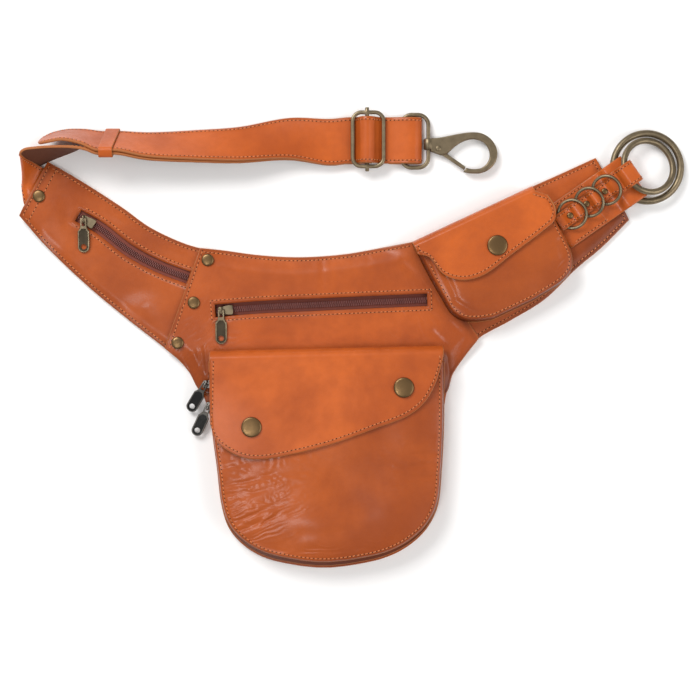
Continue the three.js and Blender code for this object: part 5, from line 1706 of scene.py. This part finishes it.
class BAG_OT_hook(Operator):
    """The strap's slider, the hook's eye, and the snap hook with its gate"""

    bl_idname = "belt_bag.hook"
    bl_label = "Snap hook"

    def execute(self, context):
        brass = ["antiqued_plate"]
        slider = frame_tube("strap_slider_cast", BUCKLE, brass)
        half = (BUCKLE["long"] + 2 * BUCKLE["wire"] + BUCKLE_PIN["ends"]) / 2
        middle = spot(BUCKLE_PIN["column"], BUCKLE["place"][1]) + [0, 0, BUCKLE["height"]]
        reach = np.array([0, half, 0])
        joined_to(slider, rod("pin", middle - reach, middle + reach, BUCKLE_PIN["diameter"], brass))
        dressed(slider, "bag", "antique_brass", "strap_slider")
        dressed(frame_tube("hook_eye_cast", EYE, brass), "bag", "antique_brass", "hook_eye")

        height = EYE["height"]
        edges = zip((HOOK_OUTER, HOOK_INNER), HOOK_STEPS)
        outline = [curve_at(plan_table(edge), shares(steps)) for edge, steps in edges]
        outline = np.vstack([*outline, plan_table(HOOK_CHEEK)])
        half, groove = HOOK_THICK / 2, HOOK_GROOVE / 2
        body = slab("hook_body_cast", outline, height - half, height + half, brass, HOOK_BEVEL, HOOK_SEGMENTS)
        cut_by(body, slab("groove", plan_table(HOOK_SLOT), height - groove, height + groove, brass))
        ends = [spot(EYE_BAR_COLUMN, row) + [0, 0, height] for row in BARREL_ROWS]
        past = np.array([0, BORE_PAST, 0])
        joined_to(body, rod("barrel", *ends, BARREL, brass, 32, BARREL_EASE))
        cut_by(body, rod("bore", ends[0] + past, ends[1] - past, BARREL_BORE, brass, 28, BORE_EASE))
        pivot = spot(*HOOK_PIVOT) + [0, 0, height]
        pin, cap = PIVOT_PIN / 2, PIVOT_HEAD / 2
        foot = -half - PIVOT_FOOT
        head = [(0, foot), (pin, foot), (pin, half - PIVOT_NECK), (cap, half - HEAD_LOW)]
        head += [(cap * math.cos(a), half + HEAD_LOW + HEAD_DOME * math.sin(a)) for a in HEAD_TURN]
        joined_to(body, lathe("pivot", head + [(0, half + HEAD_TOP)], pivot, brass, 28))
        dressed(body, "hook", "antique_brass", "hook_body")
        half = GATE_THICK / 2
        outline = plan_table(GATE_OUTLINE)
        gate = slab("hook_gate_cast", outline, height - half, height + half, brass, GATE_BEVEL, GATE_SEGMENTS)
        past = np.array([0, 0, BORE_PAST])
        bore = rod("bore", pivot - past, pivot + past, PIVOT_PIN + PIVOT_PLAY, brass, 24, BORE_EASE)
        dressed(cut_by(gate, bore), "gate", "antique_brass", "hook_gate")
        return {"FINISHED"}


# Stage

FLOOR_HALF, FLOOR_LEVEL = 3.0, -0.05
LENS, SENSOR = 96.0, 36.0
# Softboxes: place and size in metres, power in watts
SOFTBOXES = {
    "key_softbox": ((-0.9, 1.2, 1.5), 1.0, 34.0),
    "window_softbox": ((-0.36, -0.32, 1.5), 0.32, 4.2),
    "fill_softbox": ((1.3, -0.3, 1.2), 1.2, 14.0),
}
SKY_STRENGTH = 0.38


class BAG_OT_stage(Operator):
    """Floor, light and camera"""

    bl_idname = "belt_bag.stage"
    bl_label = "Stage"

    def execute(self, context):
        scene = context.scene
        reach = FLOOR_HALF / METRES
        corners = [(x * reach, y * reach, FLOOR_LEVEL) for x, y in CORNERS]
        floor = piece("studio_floor", corners, [[0, 1, 2, 3]], ["studio_paper"])
        floor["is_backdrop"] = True
        world = bpy.data.worlds.new("studio_sky")
        world.use_nodes = True
        sky = world.node_tree.nodes["Background"]
        sky.inputs["Color"].default_value = (1, 1, 1, 1)
        sky.inputs["Strength"].default_value = SKY_STRENGTH
        scene.world = world
        aim = Vector((CAD_BOX[0][i] + CAD_BOX[1][i]) / 2 for i in range(3))
        for name, (place, size, power) in SOFTBOXES.items():
            light = bpy.data.lights.new(name, "AREA")
            light.shape, light.size, light.energy = "SQUARE", size, power
            lamp = bpy.data.objects.new(name, light)
            lamp.location = place
            lamp.rotation_euler = (aim - lamp.location).to_track_quat("-Z", "Y").to_euler()
            scene.collection.objects.link(lamp)
        camera = bpy.data.objects.new("photo_camera", bpy.data.cameras.new("photo_camera"))
        camera.data.lens, camera.data.sensor_width = LENS, SENSOR
        camera.location = Vector(spot(*EYE_PLACE)) * METRES + Vector((0, 0, EYE_HEIGHT * METRES))
        scene.collection.objects.link(camera)
        scene.camera = camera
        scene.view_settings.view_transform = "Standard"
        return {"FINISHED"}


OPERATORS = (
    BAG_OT_yoke, BAG_OT_pouch, BAG_OT_side_pocket, BAG_OT_straps, BAG_OT_ring_end, BAG_OT_zips,
    BAG_OT_fasteners, BAG_OT_hook, BAG_OT_stage,
)


class BAG_PT_panel(Panel):
    """The bag's pieces in the order in which they are built"""

    bl_idname = "BAG_PT_panel"
    bl_label = "Belt bag"
    bl_space_type = "VIEW_3D"
    bl_region_type = "UI"
    bl_category = "Belt bag"

    def draw(self, context):
        for group in (context.scene.belt_bag_sizes, context.scene.belt_bag_colours):
            for name in group.bl_rna.properties.keys():
                if name not in ("rna_type", "name"):
                    self.layout.prop(group, name)
        for operator in OPERATORS:
            self.layout.operator(operator.bl_idname)


CLASSES = (BagSizes, BagColours, *OPERATORS, BAG_PT_panel)


def register():
    for cls in CLASSES:
        bpy.utils.register_class(cls)
    bpy.types.Scene.belt_bag_sizes = PointerProperty(type=BagSizes)
    bpy.types.Scene.belt_bag_colours = PointerProperty(type=BagColours)


def unregister():
    del bpy.types.Scene.belt_bag_colours
    del bpy.types.Scene.belt_bag_sizes
    for cls in reversed(CLASSES):
        bpy.utils.unregister_class(cls)


def main():
    register()
    for operator in OPERATORS:
        area, name = operator.bl_idname.split(".")
        getattr(getattr(bpy.ops, area), name)()
    boxes_now = {"cad": CAD_BOX, "visual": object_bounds()}
    {key: [list(corner) for corner in box] for key, box in boxes_now.items()}


if __name__ == "__main__":
    main()
